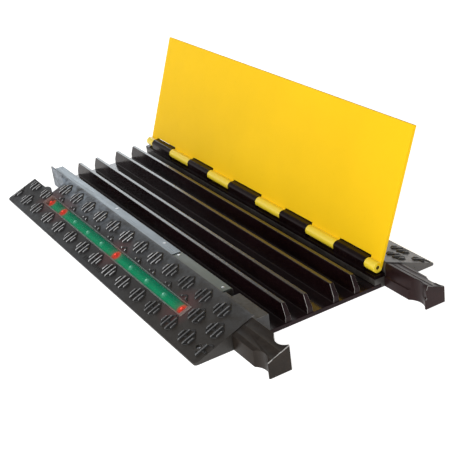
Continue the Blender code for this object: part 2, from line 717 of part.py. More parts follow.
def build_screws():
    for index, x in enumerate(FRONT_SCREW_X, start=1):
        screw(f"front_ramp_screw_{index}", x, FRONT_SCREW_Y, 22.0 * MM)
    rail_spans = [span for span in knuckle_spans() if not span[2]]
    for index, (start, end, _) in enumerate(rail_spans, start=1):
        screw(f"rear_ramp_screw_{index}", (start + end) / 2, REAR_SCREW_Y, 30.0 * MM)
    arm_y = (ROOT_Y0 + ROOT_Y1) / 2
    for index, x in enumerate(ARM_SCREW_X, start=1):
        screw(f"front_arm_screw_{index}", HALF_L + x, arm_y, 29.0 * MM)
        screw(f"rear_arm_screw_{index}", HALF_L + x, WIDTH - arm_y, 29.0 * MM)


def main():
    for obj in list(bpy.data.objects):
        bpy.data.objects.remove(obj)
    build_base()
    build_front_ramp()
    build_rear_ramp()
    build_rail()
    build_pin()
    build_connector("front_connector", False)
    build_connector("rear_connector", True)
    build_light()
    build_ledge()
    build_screws()
    build_lid()


main()
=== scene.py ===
import math

import bmesh
import bpy
from mathutils import Matrix, Vector


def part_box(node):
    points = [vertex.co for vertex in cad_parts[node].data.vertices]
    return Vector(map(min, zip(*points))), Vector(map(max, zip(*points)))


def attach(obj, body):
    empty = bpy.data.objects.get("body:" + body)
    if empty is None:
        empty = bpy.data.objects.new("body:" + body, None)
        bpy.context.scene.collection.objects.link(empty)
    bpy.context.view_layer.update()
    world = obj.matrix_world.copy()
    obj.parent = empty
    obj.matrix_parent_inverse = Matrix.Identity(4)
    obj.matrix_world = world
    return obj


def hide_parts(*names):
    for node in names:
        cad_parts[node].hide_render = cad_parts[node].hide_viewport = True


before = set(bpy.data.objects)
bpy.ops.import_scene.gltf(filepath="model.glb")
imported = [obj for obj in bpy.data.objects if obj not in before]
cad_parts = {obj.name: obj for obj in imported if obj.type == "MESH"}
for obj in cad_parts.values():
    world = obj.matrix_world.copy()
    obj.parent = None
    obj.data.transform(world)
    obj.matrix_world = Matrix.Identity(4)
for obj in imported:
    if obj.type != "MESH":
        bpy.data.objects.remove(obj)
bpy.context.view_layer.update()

# Shapes are built in millimetres: X along the section with 0 at its middle, Y from the front
# toe, Z up. publish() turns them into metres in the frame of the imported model.
MM = 0.001
HALF_L = 457.0
WIDTH = 502.0
HALF_W = WIDTH / 2
GAP = 0.3

# Cutting tools run past what they cut.
CUT_LOW = -5.0
CUT_HIGH = 60.0
CUT_PAST = 5.0
CUT_OVER = 2.0

# Slopes, ledge and channel walls.
EDGE_Z = 3.5
TOE_EASE = 0.8
TOE_LIFT = 0.3
RISE_Y = 112.0
RISE_Z = 46.2
RIDGE_Y = 120.0
RIDGE_Z = 48.0
RIDGE_EASE = (3.5, 0.5)
LEDGE_Z = 39.6
WALL_FRONT = 147.0
WALL_REAR = 366.0
FLOOR_Z = 8.0
TONGUE = 14.0
CORNER_R = 6.0
CORNER_TOP = 20.0
# Up the slope from here the ramp's end edges take the grey edge finish, wear with a painted
# highlight.
RUBBED_HIGHLIGHT_Y = 84.0
SLOPE = math.atan2(RISE_Z - EDGE_Z, RISE_Y)

# Dividers between the five channels, and their swept-back noses.
DIVIDERS = (184.5, 229.0, 284.0, 328.5)
DIVIDER_TOP = 40.3
DIVIDER_TOP_W = 7.0
DIVIDER_FOOT_W = 12.0
NOSE_FOOT = 2.0
NOSE_Z = 19.0
NOSE_TOP = 13.0
NOSE_LEAN = 23.2
NOSE_LINE = 14.5

# Hinge rail, its black knuckles and the lid. KNUCKLES are widths from the socket end: the
# first and every second one after it belong to the lid.
HINGE_Y = 378.5
HINGE_Z = 38.0
BARREL_R = 10.0
BORE_R = 3.8
KNUCKLES = (33.6, 92.6, 91.0, 92.6, 91.0, 112.4, 91.0, 92.6, 91.0, 92.6, 33.6)
KNUCKLE_GAP = 0.5
KNUCKLE_ROOM = 15.0
RAIL_FOOT = 20.3
RAIL_TOP = 26.5
RAIL_REAR = 388.5
KNUCKLE_BACK_Z = 47.9
KNUCKLE_EASE = 1.0
KNUCKLE_TOP = 48.8
FIN_ROOT = 1.0
FIN_REAR = 389.7
FIN_Z = (30.0, 46.9)
LID_HALF = 452.0
LID_THICK = 7.0
LID_REACH = 257.7
LID_OPEN = math.radians(110.5)
LID_RELIEF = 14.2

# Rear ramp.
SHELF_Z = 20.0
BACK_WALL_Y = 389.3
BACK_WALL_Z = 37.4
REAR_RIDGE_Y = 392.5
REAR_RIDGE_Z = 45.6
REAR_RIDGE_EASE = (1.2, 0.3)
REAR_SLOPE = math.atan2(REAR_RIDGE_Z - EDGE_Z, WIDTH - 2.0 - REAR_RIDGE_Y)

# Dog-bone connectors and the sockets that take them.
ARM_Y0 = 73.5
ARM_Y1 = 115.5
ARM_REACH = 111.0
ARM_DROP = 1.0
ARM_RAIL_STEP = 3.0
ARM_SHOULDER = 3.0
ARM_RIDGE_SET = 0.4
ARM_LINES = (81.0, 98.0)
ARM_LINE_SHAPE = ((-0.9, 0.0), (-0.35, 0.55), (0.35, 0.55), (0.9, 0.0))
SCOOP_R = 29.6
SCOOP_X = 86.75
SCOOP_SET = 20.6
SOCKET_CLEAR = 1.2

# Light unit, measured up the slope (U) and along X.
LIGHT_U0 = 45.8
LIGHT_U1 = 72.8
LIGHT_HALF = 332.0
LIGHT_DEPTH = 9.0
LED_X0 = -4.0
LED_PITCH = 69.7
LED_COUNT = 10
LED_RED = (0, 1, 5, 9)
LED_GREEN = tuple(index for index in range(LED_COUNT) if index not in LED_RED)
LENS_HALF = 322.0
LENS_SKIN = 3.0
LENS_LEG = 2.5
LENS_PROUD = 0.4
LENS_EASE = 0.5
CAP_RIBS = (2.0, 4.6, 7.2)
CAP_RIB_SHAPE = ((0.5, 0.0), (-0.5, 0.0), (-0.7, 0.6), (-1.9, 0.6))
CAP_LIFT = 0.3
CAP_GROOVE = 0.6
BOARD_T = 1.6
BOARD_ACROSS = (-0.208, -0.183)
LAMP_R = 4.5
LAMP_CORE = 2.3
LAMP_CORE_LIFT = 2.0
LAMP_FLANGE = 1.0
LAMP_DOME = 2.8
LAMP_DOME_R = 0.86
LAMP_DOME_ANGLES = (0.0, 0.3, 0.6, 0.9, 1.15, 1.35)

# Ledge strip's pocket, finger notch and screws.
STRIP_Y0 = 122.0
POCKET_Z = 38.4
NOTCH = (341.0, 363.0)
NOTCH_Y = 131.0
NOTCH_Z = 25.0
CORNER_SCREW = (427.0, 26.0)
CORNER_HOLE = ((0.0, 3.0), (2.2, 3.0), (2.2, 7.5), (5.2, 7.5), (5.2, CUT_HIGH), (0.0, CUT_HIGH))
SCREW_HEAD_TOP = 3.3
RECESS_LOW = -1.0

# Treads.
RIB_W = 3.9
RIB_H = 3.3
RIB_SINK = 0.6
RIB_TIP = 1.8
SHORTEST_RIB = 2.6
TRIM_STEPS = 24
# Bars above this share of the full height have worn tops with a painted highlight.
FULL_RIB = 0.9
# Each bar of a cluster as (start, end, share of the full height) about its middle.
CLUSTER_RIBS = (
    ((-17.0, -6.5), (-17.0, 6.5), 1.0),
    ((-7.8, -13.0), (-7.8, 13.0), 1.0),
    ((7.0, -13.0), (7.0, 13.5), 1.0),
    ((16.4, -6.5), (16.4, 6.5), 1.0),
    ((-7.6, 3.4), (7.0, -1.6), 0.6),
    ((-7.6, -1.6), (7.0, 3.4), 0.6),
    ((-17.0, 7.4), (-8.6, 12.2), 0.45),
    ((-17.0, -7.4), (-8.6, -12.2), 0.45),
    ((8.0, 12.2), (17.6, 6.8), 0.4),
    ((8.0, -12.2), (17.6, -6.8), 0.4),
    ((-7.6, 13.0), (0.2, 17.4), 0.4),
    ((0.2, 17.4), (7.2, 13.4), 0.4),
)
# Rows of clusters as (Y, distances from the socket end).
ROWS = (
    (24.0, (3.3, 68.0, 131.5, 200.0, 264.5, 331.5, 397.0, 463.0, 528.5, 590.5, 654.5, 717.0,
            781.5, 845.0, 906.0)),
    (61.0, (38.0, 104.0, 172.0, 239.0, 305.0, 370.0, 435.0, 500.0, 563.0, 625.0, 690.0, 753.0,
            817.0, 880.0)),
    (94.0, (146.0, 211.0, 276.0, 340.5, 405.5, 470.0, 534.0, 596.0, 659.5, 722.5, 785.5, 850.0)),
)
# Room that the treads leave round the light, the socket, the corner screw and the ends.
LIGHT_KEEP_X = 2.5
LIGHT_KEEP_Y = (40.5, 70.0)
SOCKET_KEEP = 4.0
SCREW_KEEP = 8.0
END_KEEP = 3.0
# Plain slanted grip bars near the front toe.
GRIP_X0 = 428.0
GRIP_PITCH = 7.0
GRIP_COUNT = 12
GRIP_Y = (8.5, 17.5)
GRIP_LEAN = 2.5
GRIP_HEIGHT = 0.45
# Lid clusters: distance of the first row from the free edge, pitches and stagger.
LID_ROWS = 6
LID_ROW_START = 30.0
LID_ROW_PITCH = 38.0
LID_COLUMNS = 13
LID_COLUMN_START = -400.0
LID_COLUMN_PITCH = 64.75
LID_STAGGER = 32.0
LID_END_KEEP = 5.0

# Camera fitted to the object's straight edges: yaw, pitch and roll in degrees.
CAMERA_ANGLES = (152.94, 25.2, -7.67)
CAMERA_PLACE = (1.7189, -0.8073, 0.891)
CAMERA_LENS = 80.62
CAMERA_SENSOR = 36.0
# Sky brightness by height: 0 is the horizon and below it, 1 straight up.
SKY = ((0.0, 1.0), (0.3, 0.95), (0.46, 0.6), (0.6, 0.26), (1.0, 0.2))
FLOOR_HALF = 9.0
FLOOR_CELLS = 24
FLOOR_DROP = 0.0004
FLOOR_SAG = 0.02

BLACK = (0.0, 0.0, 0.0)
WHITE = (1.0, 1.0, 1.0)
# Pale bluish dust on the front slope, partly a painted sheen.
SLOPE_DUST_AND_SHEEN = (0.25, 0.29, 0.34)
SLOPE_BAND = (0.003, 0.0015, 0.0012)
SLOPE_BROWN = (0.020, 0.014, 0.008)
# Painted glow of the red lamps on the front slope.
SLOPE_RED_GLOW = (0.085, 0.02, 0.02)
SCUFF_GREY = (0.12, 0.115, 0.11)
YELLOW_DUST = (0.62, 0.36, 0.01)
GRIT_GREY = (0.08, 0.09, 0.09)

# Rubber finishes: dark tone, light tone, roughness range and other settings.
RUBBERS = {
    "ramp_urethane": (
        (0.008, 0.007, 0.0065), (0.028, 0.026, 0.025), (0.36, 0.55),
        {"scuff": 0.18, "depth": 0.35, "front_slope": True},
    ),
    "rear_urethane": ((0.04, 0.035, 0.031), (0.10, 0.09, 0.082), (0.26, 0.4), {"scuff": 0.2}),
    "underside_urethane": ((0.022, 0.020, 0.018), (0.040, 0.037, 0.034), (0.4, 0.55), {}),
    # Near-black sides of the tread bars: painted shade.
    "tread_side_shade": ((0.003, 0.003, 0.003), (0.008, 0.007, 0.007), (0.5, 0.65), {}),
    # Pale tops of the tread bars: wear with a painted highlight that dims towards the connector
    # end.
    "tread_top_wear_and_highlight": (
        (0.36, 0.365, 0.375), (0.70, 0.70, 0.71), (0.2, 0.34),
        {"patch": 20.0, "highlight_fade": 0.28},
    ),
    "tray_urethane": (
        (0.008, 0.003, 0.0032), (0.018, 0.007, 0.008), (0.12, 0.24),
        {"gloss": 0.65, "tint": (1.0, 0.93, 0.93)},
    ),
    # Darker, duller copy for the divider sides that face the front: painted shade.
    "tray_wall_shade": (
        (0.006, 0.002, 0.0025), (0.013, 0.005, 0.006), (0.14, 0.26),
        {"gloss": 0.16, "tint": (1.0, 0.8, 0.8)},
    ),
    # Lighter copy for the divider tops: a painted sheen.
    "tray_top_sheen": ((0.026, 0.025, 0.022), (0.046, 0.044, 0.038), (0.14, 0.26), {"gloss": 0.62}),
    # Duller copy for the ends facing +X: painted shade.
    "tray_end_shade": ((0.012, 0.004, 0.005), (0.024, 0.010, 0.012), (0.4, 0.5), {"gloss": 0.15}),
    "knuckle_urethane": (
        (0.005, 0.002, 0.0022), (0.012, 0.006, 0.0065), (0.14, 0.24),
        {"gloss": 0.14, "tint": (1.0, 0.8, 0.8)},
    ),
    "arm_urethane": (
        (0.011, 0.0075, 0.0055), (0.026, 0.019, 0.014), (0.3, 0.45),
        {"gloss": 0.2, "tint": (1.0, 0.92, 0.87)},
    ),
    "rear_arm_urethane": (
        (0.012, 0.0045, 0.0045), (0.025, 0.011, 0.011), (0.3, 0.42),
        {"gloss": 0.24, "tint": (1.0, 0.74, 0.74)},
    ),
    # Pale edge finish: wear with a painted highlight.
    "worn_edge": ((0.30, 0.29, 0.28), (0.62, 0.6, 0.57), (0.3, 0.45), {"patch": 40.0}),
    # Grey edge finish: wear with a painted highlight.
    "rubbed_edge": ((0.10, 0.095, 0.09), (0.22, 0.21, 0.2), (0.3, 0.45), {"patch": 40.0}),
    "driver_shell": ((0.04, 0.045, 0.05), (0.07, 0.08, 0.09), (0.4, 0.6), {}),
    "lead_sheath": ((0.02, 0.02, 0.02), (0.05, 0.05, 0.05), (0.45, 0.6), {}),
}
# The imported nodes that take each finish, by node name without its number.
NODE_FINISHES = {
    "tray_urethane": ("channel_base",),
    "ramp_urethane": ("front_ramp",),
    "rear_urethane": ("rear_ramp",),
    "knuckle_urethane": ("hinge_rail",),
    "arm_urethane": ("front_connector",),
    "rear_arm_urethane": ("rear_connector",),
    "solder_mask": ("led_board",),
    "lens_clear": ("led_lens",),
    "cap_clear": ("lens_cap_left", "lens_cap_right"),
    "red_rim": ("red_led",),
    "green_rim": ("green_led",),
    "lead_sheath": ("led_lead",),
    "driver_shell": ("led_driver",),
    "strip_finish": ("ledge_strip",),
    "plate_finish": ("name_plate",),
    "safety_yellow": ("lid",),
    # The pin plugs are coloured dark as painted shade of the pin hole.
    "plug_shade": ("pin_plug_left", "pin_plug_right"),
    "screw_steel": (
        "hinge_pin", "strip_screw", "plate_rivet", "corner_screw", "front_ramp_screw",
        "rear_ramp_screw", "front_arm_screw", "rear_arm_screw",
    ),
}


# -------- node helpers
class Nodes:
    """Adds and links the shader nodes of one material."""

    def __init__(self, name):
        self.material = bpy.data.materials.new(name)
        self.material.use_nodes = True
        self.tree = self.material.node_tree
        self.shader = self.tree.nodes["Principled BSDF"]
        self.coords = self.add("ShaderNodeTexCoord").outputs["Object"]

    def add(self, kind, **values):
        node = self.tree.nodes.new(kind)
        for key, value in values.items():
            if hasattr(node, key):
                setattr(node, key, value)
            else:
                node.inputs[key.replace("_", " ")].default_value = value
        return node

    def link(self, source, target):
        self.tree.links.new(source, target)

    def stretched(self, scale):
        mapping = self.add("ShaderNodeMapping", Scale=scale)
        self.link(self.coords, mapping.inputs["Vector"])
        return mapping.outputs["Vector"]

    def noise(self, scale, detail, roughness, vector=None):
        node = self.add("ShaderNodeTexNoise", Scale=scale, Detail=detail, Roughness=roughness)
        self.link(vector or self.coords, node.inputs["Vector"])
        return node.outputs["Fac"]

    def ramp(self, source, stops):
        node = self.add("ShaderNodeValToRGB")
        elements = node.color_ramp.elements
        while len(elements) < len(stops):
            elements.new(0.5)
        for element, (position, colour) in zip(elements, stops):
            element.position = position
            element.color = (*colour, 1.0)
        self.link(source, node.inputs["Fac"])
        return node.outputs["Color"]

    def span(self, source, low, high, start=0.3, end=0.7):
        """Maps the source's start to end onto low to high, and holds it beyond them."""
        node = self.add("ShaderNodeMapRange", From_Min=start, From_Max=end, To_Min=low, To_Max=high)
        self.link(source, node.inputs["Value"])
        return node.outputs["Result"]

    def place(self, axis):
        """One coordinate of the piece, in metres."""
        split = self.add("ShaderNodeSeparateXYZ")
        self.link(self.coords, split.inputs["Vector"])
        return split.outputs[axis]

    def math(self, operation, first, second):
        node = self.add("ShaderNodeMath", operation=operation)
        self.link(first, node.inputs[0])
        self.link(second, node.inputs[1])
        return node.outputs["Value"]

    def mix(self, factor, first, second, mode="MIX"):
        """Mixes colours: each input is a socket, a plain (r, g, b) or, for factor, a number."""
        node = self.add("ShaderNodeMix", data_type="RGBA", blend_type=mode)
        for source, socket in ((factor, 0), (first, 6), (second, 7)):
            if isinstance(source, bpy.types.NodeSocket):
                self.link(source, node.inputs[socket])
            elif isinstance(source, tuple):
                node.inputs[socket].default_value = (*source, 1.0)
            else:
                node.inputs[socket].default_value = source
        return node.outputs[2]

    def bump(self, height, strength, distance, normal=None):
        node = self.add("ShaderNodeBump", Strength=strength, Distance=distance)
        self.link(height, node.inputs["Height"])
        if normal:
            self.link(normal, node.inputs["Normal"])
        return node.outputs["Normal"]

    def set(self, **values):
        for key, value in values.items():
            socket = self.shader.inputs[key.replace("_", " ")]
            if isinstance(value, bpy.types.NodeSocket):
                self.link(value, socket)
            else:
                socket.default_value = value


def grey(level):
    return (level, level, level)


def scaled(colour, factor):
    return tuple(value * factor for value in colour)


def near_lamps(n, indices, inner, outer, peak=1.0):
    """The peak value close to the named lamps, falling to 0 at the outer distance."""
    y, z = slope_point((LIGHT_U0 + LIGHT_U1) / 2, -LIGHT_DEPTH)
    total = None
    for index in indices:
        distance = n.add("ShaderNodeVectorMath", operation="DISTANCE")
        distance.inputs[1].default_value = (lamp_x(index) * MM, (y - HALF_W) * MM, z * MM)
        n.link(n.coords, distance.inputs[0])
        spot = n.span(distance.outputs["Value"], peak, 0.0, inner * MM, outer * MM)
        total = spot if total is None else n.math("MAXIMUM", total, spot)
    return total


# -------- materials
def dust_and_sheen(n, colour):
    """Pale dust in blotches with a painted bluish sheen over it, both thickest high on the front
    slope and towards the socket end.
    """
    blotches = n.span(n.noise(42.0, 6.0, 0.72), 0.0, 0.95, 0.36, 0.6)
    up_slope = n.span(n.place("Y"), 0.15, 1.0, -0.19, -0.15)
    leftward = n.span(n.place("X"), 1.0, 0.22, -0.32, 0.0)
    where = n.math("MULTIPLY", up_slope, leftward)
    return n.mix(n.math("MULTIPLY", blotches, where), colour, SLOPE_DUST_AND_SHEEN)


def scuffed(n, colour, amount):
    """Grey drag marks that run along the section."""
    drag = n.noise(60.0, 3.0, 0.7, n.stretched((0.25, 1.6, 1.0)))
    return n.mix(n.span(drag, 0.0, amount, 0.56, 0.74), colour, SCUFF_GREY)


def shaded_slope(n, colour):
    """Darker band along the light, browner connector end and a painted red glow round the red
    lamps.
    """
    above_toe = n.span(n.place("Y"), 0.0, 0.7, -0.24, -0.222)
    below_ridge = n.span(n.place("Y"), 1.0, 0.0, -0.19, -0.165)
    leftward = n.span(n.place("X"), 1.0, 0.3, 0.0, 0.3)
    band = n.math("MULTIPLY", n.math("MULTIPLY", above_toe, below_ridge), leftward)
    colour = n.mix(band, colour, SLOPE_BAND)
    colour = n.mix(n.span(n.place("X"), 0.0, 0.6, 0.08, 0.32), colour, SLOPE_BROWN)
    return n.mix(near_lamps(n, LED_RED, 12.0, 48.0, 0.75), colour, SLOPE_RED_GLOW)


def cast_rubber(name, dark, light, rough, patch=9.0, scuff=0.0, gloss=0.5, depth=0.62,
                tint=WHITE, highlight_fade=1.0, front_slope=False):
    """Cast polyurethane: cloudy colour, uneven sheen and pebbled skin.

    depth is the brightness of the darkest specks, highlight_fade the share of the colour left at
    the connector end, where it dims a painted highlight.
    """
    n = Nodes(name)
    clouds = n.noise(patch, 6.0, 0.62)
    specks = n.noise(patch * 14.0, 4.0, 0.65)
    colour = n.ramp(clouds, ((0.34, dark), (0.66, light)))
    colour = n.mix(1.0, colour, n.ramp(specks, ((0.35, grey(depth)), (0.7, WHITE))), "MULTIPLY")
    if front_slope:
        # Dust with a painted sheen on the front slope.
        colour = dust_and_sheen(n, colour)
    if scuff:
        colour = scuffed(n, colour, scuff)
    if front_slope:
        colour = shaded_slope(n, colour)
    # Darken towards the connector end, dimming a painted highlight.
    if highlight_fade < 1.0:
        colour = n.mix(n.span(n.place("X"), 0.0, 1.0 - highlight_fade, 0.11, 0.24), colour, BLACK)
    pebbles = n.bump(n.noise(700.0, 2.0, 0.5), 0.3, 0.0001)
    n.set(
        Base_Color=colour,
        Roughness=n.span(specks, *rough),
        Specular_IOR_Level=gloss,
        Specular_Tint=(*tint, 1.0),
        Normal=n.bump(n.noise(38.0, 3.0, 0.5), 0.3, 0.0008, pebbles),
    )
    return n.material


def yellow_rubber(name, rough, gloss, light=(0.96, 0.585, 0.006)):
    """Yellow polyurethane: faint clouds, dust and an orange-peel skin."""
    n = Nodes(name)
    clouds = n.noise(5.0, 5.0, 0.6)
    colour = n.ramp(clouds, ((0.3, scaled(light, 0.93)), (0.7, light)))
    dust = n.noise(120.0, 4.0, 0.7)
    colour = n.mix(n.span(dust, 0.0, 0.12, 0.6, 0.75), colour, YELLOW_DUST)
    peel = n.bump(n.noise(420.0, 2.0, 0.5), 0.25, 0.00008)
    n.set(
        Base_Color=colour,
        Roughness=n.span(dust, *rough),
        Specular_IOR_Level=gloss,
        Normal=n.bump(n.noise(14.0, 2.0, 0.4), 0.2, 0.0008, peel),
    )
    return n.material


def metal(name, tint, rough):
    """Bare metal with fine brushed lines and duller worn patches."""
    n = Nodes(name)
    lines = n.noise(900.0, 3.0, 0.6, n.stretched((0.15, 1.0, 1.0)))
    wear = n.noise(160.0, 4.0, 0.6)
    n.set(
        Base_Color=n.ramp(wear, ((0.3, scaled(tint, 0.55)), (0.7, tint))),
        Roughness=n.span(lines, *rough),
        Metallic=1.0,
        Normal=n.bump(lines, 0.2, 0.00005),
    )
    return n.material


def painted_strip(name, dark, light, rough, shine):
    """Satin strip with long rolling lines and small specks of grit."""
    n = Nodes(name)
    rolled = n.noise(220.0, 3.0, 0.6, n.stretched((0.04, 1.0, 1.0)))
    clouds = n.noise(12.0, 4.0, 0.6)
    grit = n.noise(700.0, 2.0, 0.5)
    colour = n.ramp(clouds, ((0.3, dark), (0.7, light)))
    n.set(
        Base_Color=n.mix(n.span(grit, 0.0, 0.5, 0.62, 0.72), colour, GRIT_GREY),
        Roughness=n.span(rolled, *rough),
        Metallic=shine,
        Normal=n.bump(rolled, 0.3, 0.0001),
    )
    return n.material


def circuit_board(name):
    """Green solder mask with tracks and painted shade across its width, a painted green glow near
    the green lamps and a painted red glow round the red lamps; it also glows in its own colour.
    """
    n = Nodes(name)
    tracks = n.add("ShaderNodeTexBrick", Scale=60.0, Mortar_Size=0.03)
    tracks.inputs["Color1"].default_value = (1.0, 1.0, 1.0, 1.0)
    tracks.inputs["Color2"].default_value = (0.86, 0.9, 0.86, 1.0)
    tracks.inputs["Mortar"].default_value = (0.72, 0.78, 0.72, 1.0)
    n.link(n.coords, tracks.inputs["Vector"])
    weave = n.noise(800.0, 2.0, 0.5)
    grain = n.ramp(weave, ((0.3, grey(0.8)), (0.7, WHITE)))
    across = n.span(n.place("Y"), 0.0, 1.0, *BOARD_ACROSS)
    shade = n.ramp(across, ((0.15, grey(0.8)), (0.45, WHITE), (0.85, (0.45, 0.45, 0.5))))
    glow = near_lamps(n, LED_GREEN, 1.0, 9.0)
    colour = n.mix(glow, (0.002, 0.235, 0.095), (0.09, 0.34, 0.2))
    for layer in (tracks.outputs["Color"], grain, shade):
        colour = n.mix(1.0, colour, layer, "MULTIPLY")
    colour = n.mix(near_lamps(n, LED_RED, 10.0, 26.0), colour, (0.045, 0.12, 0.065))
    colour = n.mix(near_lamps(n, LED_RED, 6.5, 14.0), colour, (0.50, 0.018, 0.008))
    # The board is made to glow in its own colour though it is no lamp: painted light.
    n.set(
        Base_Color=colour,
        Roughness=n.span(weave, 0.35, 0.5),
        Specular_IOR_Level=0.1,
        Emission_Color=colour,
        Emission_Strength=0.55,
        Normal=n.bump(weave, 0.2, 0.00005),
    )
    return n.material


def lamp(name, tint, strength):
    """Moulded lamp body that glows a little unevenly."""
    n = Nodes(name)
    haze = n.noise(500.0, 2.0, 0.5)
    colour = n.ramp(haze, ((0.3, scaled(tint, 0.7)), (0.7, tint)))
    n.set(
        Base_Color=colour,
        Roughness=n.span(haze, 0.4, 0.55),
        Specular_IOR_Level=0.2,
        Emission_Color=colour,
        Emission_Strength=strength,
    )
    return n.material


def clear_plastic(name, tint, cover, rough, gloss=0.5):
    """Clear moulding: mostly see-through, with fine smears and a painted red glow near the red
    lamps.
    """
    n = Nodes(name)
    smear = n.noise(90.0, 3.0, 0.6)
    colour = n.ramp(smear, ((0.3, scaled(tint, 0.8)), (0.7, tint)))
    n.set(
        Base_Color=n.mix(near_lamps(n, LED_RED, 6.0, 34.0, 0.6), colour, (0.30, 0.03, 0.02)),
        Roughness=n.span(smear, *rough),
        Specular_IOR_Level=gloss,
        Alpha=cover,
    )
    return n.material


def floor_paper(name):
    n = Nodes(name)
    colour = n.ramp(n.noise(3.0, 3.0, 0.5), ((0.3, grey(0.74)), (0.7, grey(0.77))))
    n.set(Base_Color=colour, Roughness=0.9, Emission_Color=colour, Emission_Strength=1.1)
    return n.material


def make_finishes():
    """Every finish of the object, by name."""
    strip_tones = ((0.125, 0.155, 0.18), (0.19, 0.225, 0.26))
    plate_tones = ((0.055, 0.075, 0.065), (0.095, 0.12, 0.105))
    made = [cast_rubber(name, *tones, **more) for name, (*tones, more) in RUBBERS.items()]
    made += [
        yellow_rubber("safety_yellow", (0.42, 0.52), 0.07),
        # Brighter, glossier copy of the lid's yellow for the hinge barrels: a painted highlight.
        yellow_rubber("barrel_yellow_highlight", (0.28, 0.38), 0.9, (1.0, 0.745, 0.035)),
        # Dark yellow-brown for the pin plugs: painted shade of the shadowed pin hole.
        yellow_rubber("plug_shade", (0.5, 0.6), 0.1, (0.10, 0.065, 0.01)),
        metal("screw_steel", (0.62, 0.63, 0.65), (0.22, 0.4)),
        painted_strip("plate_finish", *plate_tones, (0.3, 0.45), 0.0),
        painted_strip("strip_finish", *strip_tones, (0.26, 0.4), 0.35),
        circuit_board("solder_mask"),
        lamp("red_rim", (0.50, 0.02, 0.008), 0.6),
        lamp("red_core", (0.95, 0.06, 0.03), 1.1),
        lamp("green_rim", (0.07, 0.33, 0.2), 0.4),
        lamp("green_core", (0.24, 0.52, 0.38), 0.45),
        clear_plastic("lens_clear", (0.02, 0.40, 0.27), 0.06, (0.1, 0.2), 0.12),
        # Paler, cloudier copy for the lens legs: a painted edge highlight.
        clear_plastic("lens_frosted", (0.15, 0.19, 0.17), 0.8, (0.2, 0.35)),
        clear_plastic("cap_clear", (0.30, 0.31, 0.29), 0.7, (0.15, 0.3)),
    ]
    return {material.name: material for material in made}


def paint_nodes(finishes):
    """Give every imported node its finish."""
    looks = {stem: finishes[name] for name, stems in NODE_FINISHES.items() for stem in stems}
    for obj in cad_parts.values():
        obj.data.materials.clear()
        obj.data.materials.append(looks[obj.name.rstrip("0123456789_")])


# -------- mesh helpers
def temp_object(bm, name):
    bmesh.ops.remove_doubles(bm, verts=bm.verts, dist=0.005)
    bmesh.ops.recalc_face_normals(bm, faces=bm.faces)
    mesh = bpy.data.meshes.new(name)
    bm.to_mesh(mesh)
    bm.free()
    obj = bpy.data.objects.new(name, mesh)
    bpy.context.scene.collection.objects.link(obj)
    return obj


SWEEPS = {
    "x": lambda a, b, run: (run, a, b),
    "y": lambda a, b, run: (a, run, b),
    "z": lambda a, b, run: (a, b, run),
}


def prism(name, outline, start, end, axis="x"):
    """Sweep a closed outline: (y, z) pairs along X, (x, z) along Y or (x, y) along Z."""
    place = SWEEPS[axis]
    bm = bmesh.new()
    face = bm.faces.new([bm.verts.new(place(a, b, start)) for a, b in outline])
    swept = bmesh.ops.extrude_face_region(bm, geom=[face], use_keep_orig=True)
    moved = [item for item in swept["geom"] if isinstance(item, bmesh.types.BMVert)]
    bmesh.ops.translate(bm, verts=moved, vec=Vector(place(0.0, 0.0, end - start)))
    return temp_object(bm, name)


def box_outline(a0, a1, b0, b1):
    return [(a0, b0), (a1, b0), (a1, b1), (a0, b1)]


def arc(centre, radius, start_deg, end_deg, steps):
    points = []
    for step in range(steps + 1):
        angle = math.radians(start_deg + (end_deg - start_deg) * step / steps)
        points.append((centre[0] + radius * math.cos(angle), centre[1] + radius * math.sin(angle)))
    return points


def mirror_y(outline):
    return [(a, WIDTH - b) for a, b in outline]


def lathe(name, profile, base, axis="z", segments=24):
    """Spin a (radius, height) profile about an axis through base."""
    bm = bmesh.new()
    points = [bm.verts.new((radius, 0.0, height)) for radius, height in profile]
    edges = [bm.edges.new(pair) for pair in zip(points, points[1:])]
    bmesh.ops.spin(
        bm,
        geom=points + edges,
        cent=(0.0, 0.0, 0.0),
        axis=(0.0, 0.0, 1.0),
        angle=2.0 * math.pi,
        steps=segments,
    )
    turn = {
        "z": Matrix.Identity(4),
        "x": Matrix.Rotation(math.pi / 2, 4, "Y"),
        "slope": Matrix.Rotation(SLOPE, 4, "X"),
    }[axis]
    bmesh.ops.transform(bm, matrix=turn, verts=bm.verts)
    bmesh.ops.translate(bm, verts=bm.verts, vec=Vector(base))
    return temp_object(bm, name)


def rod(radius, start, end):
    return [(0.0, start), (radius, start), (radius, end), (0.0, end)]


def combine(target, tools, operation="DIFFERENCE"):
    """Add one boolean per tool; settle() applies them."""
    for tool in tools:
        mod = target.modifiers.new(operation.lower(), "BOOLEAN")
        mod.operation = operation
        mod.solver = "EXACT"
        mod.object = tool


def settle(obj):
    """Apply the modifiers and drop the tools they used."""
    graph = bpy.context.evaluated_depsgraph_get()
    graph.update()
    mesh = bpy.data.meshes.new_from_object(obj.evaluated_get(graph))
    tools = [mod.object for mod in obj.modifiers if mod.type == "BOOLEAN"]
    obj.modifiers.clear()
    old = obj.data
    obj.data = mesh
    bpy.data.meshes.remove(old)
    for tool in tools:
        bpy.data.objects.remove(tool)


def soften(obj, width, segments=2, angle_deg=28.0):
    """Round every edge sharper than the limit."""
    mod = obj.modifiers.new("edge_round", "BEVEL")
    mod.width = width
    mod.segments = segments
    mod.limit_method = "ANGLE"
    mod.angle_limit = math.radians(angle_deg)
    mod.use_clamp_overlap = False
    mod.harden_normals = True
    for face in obj.data.polygons:
        face.use_smooth = True
    settle(obj)


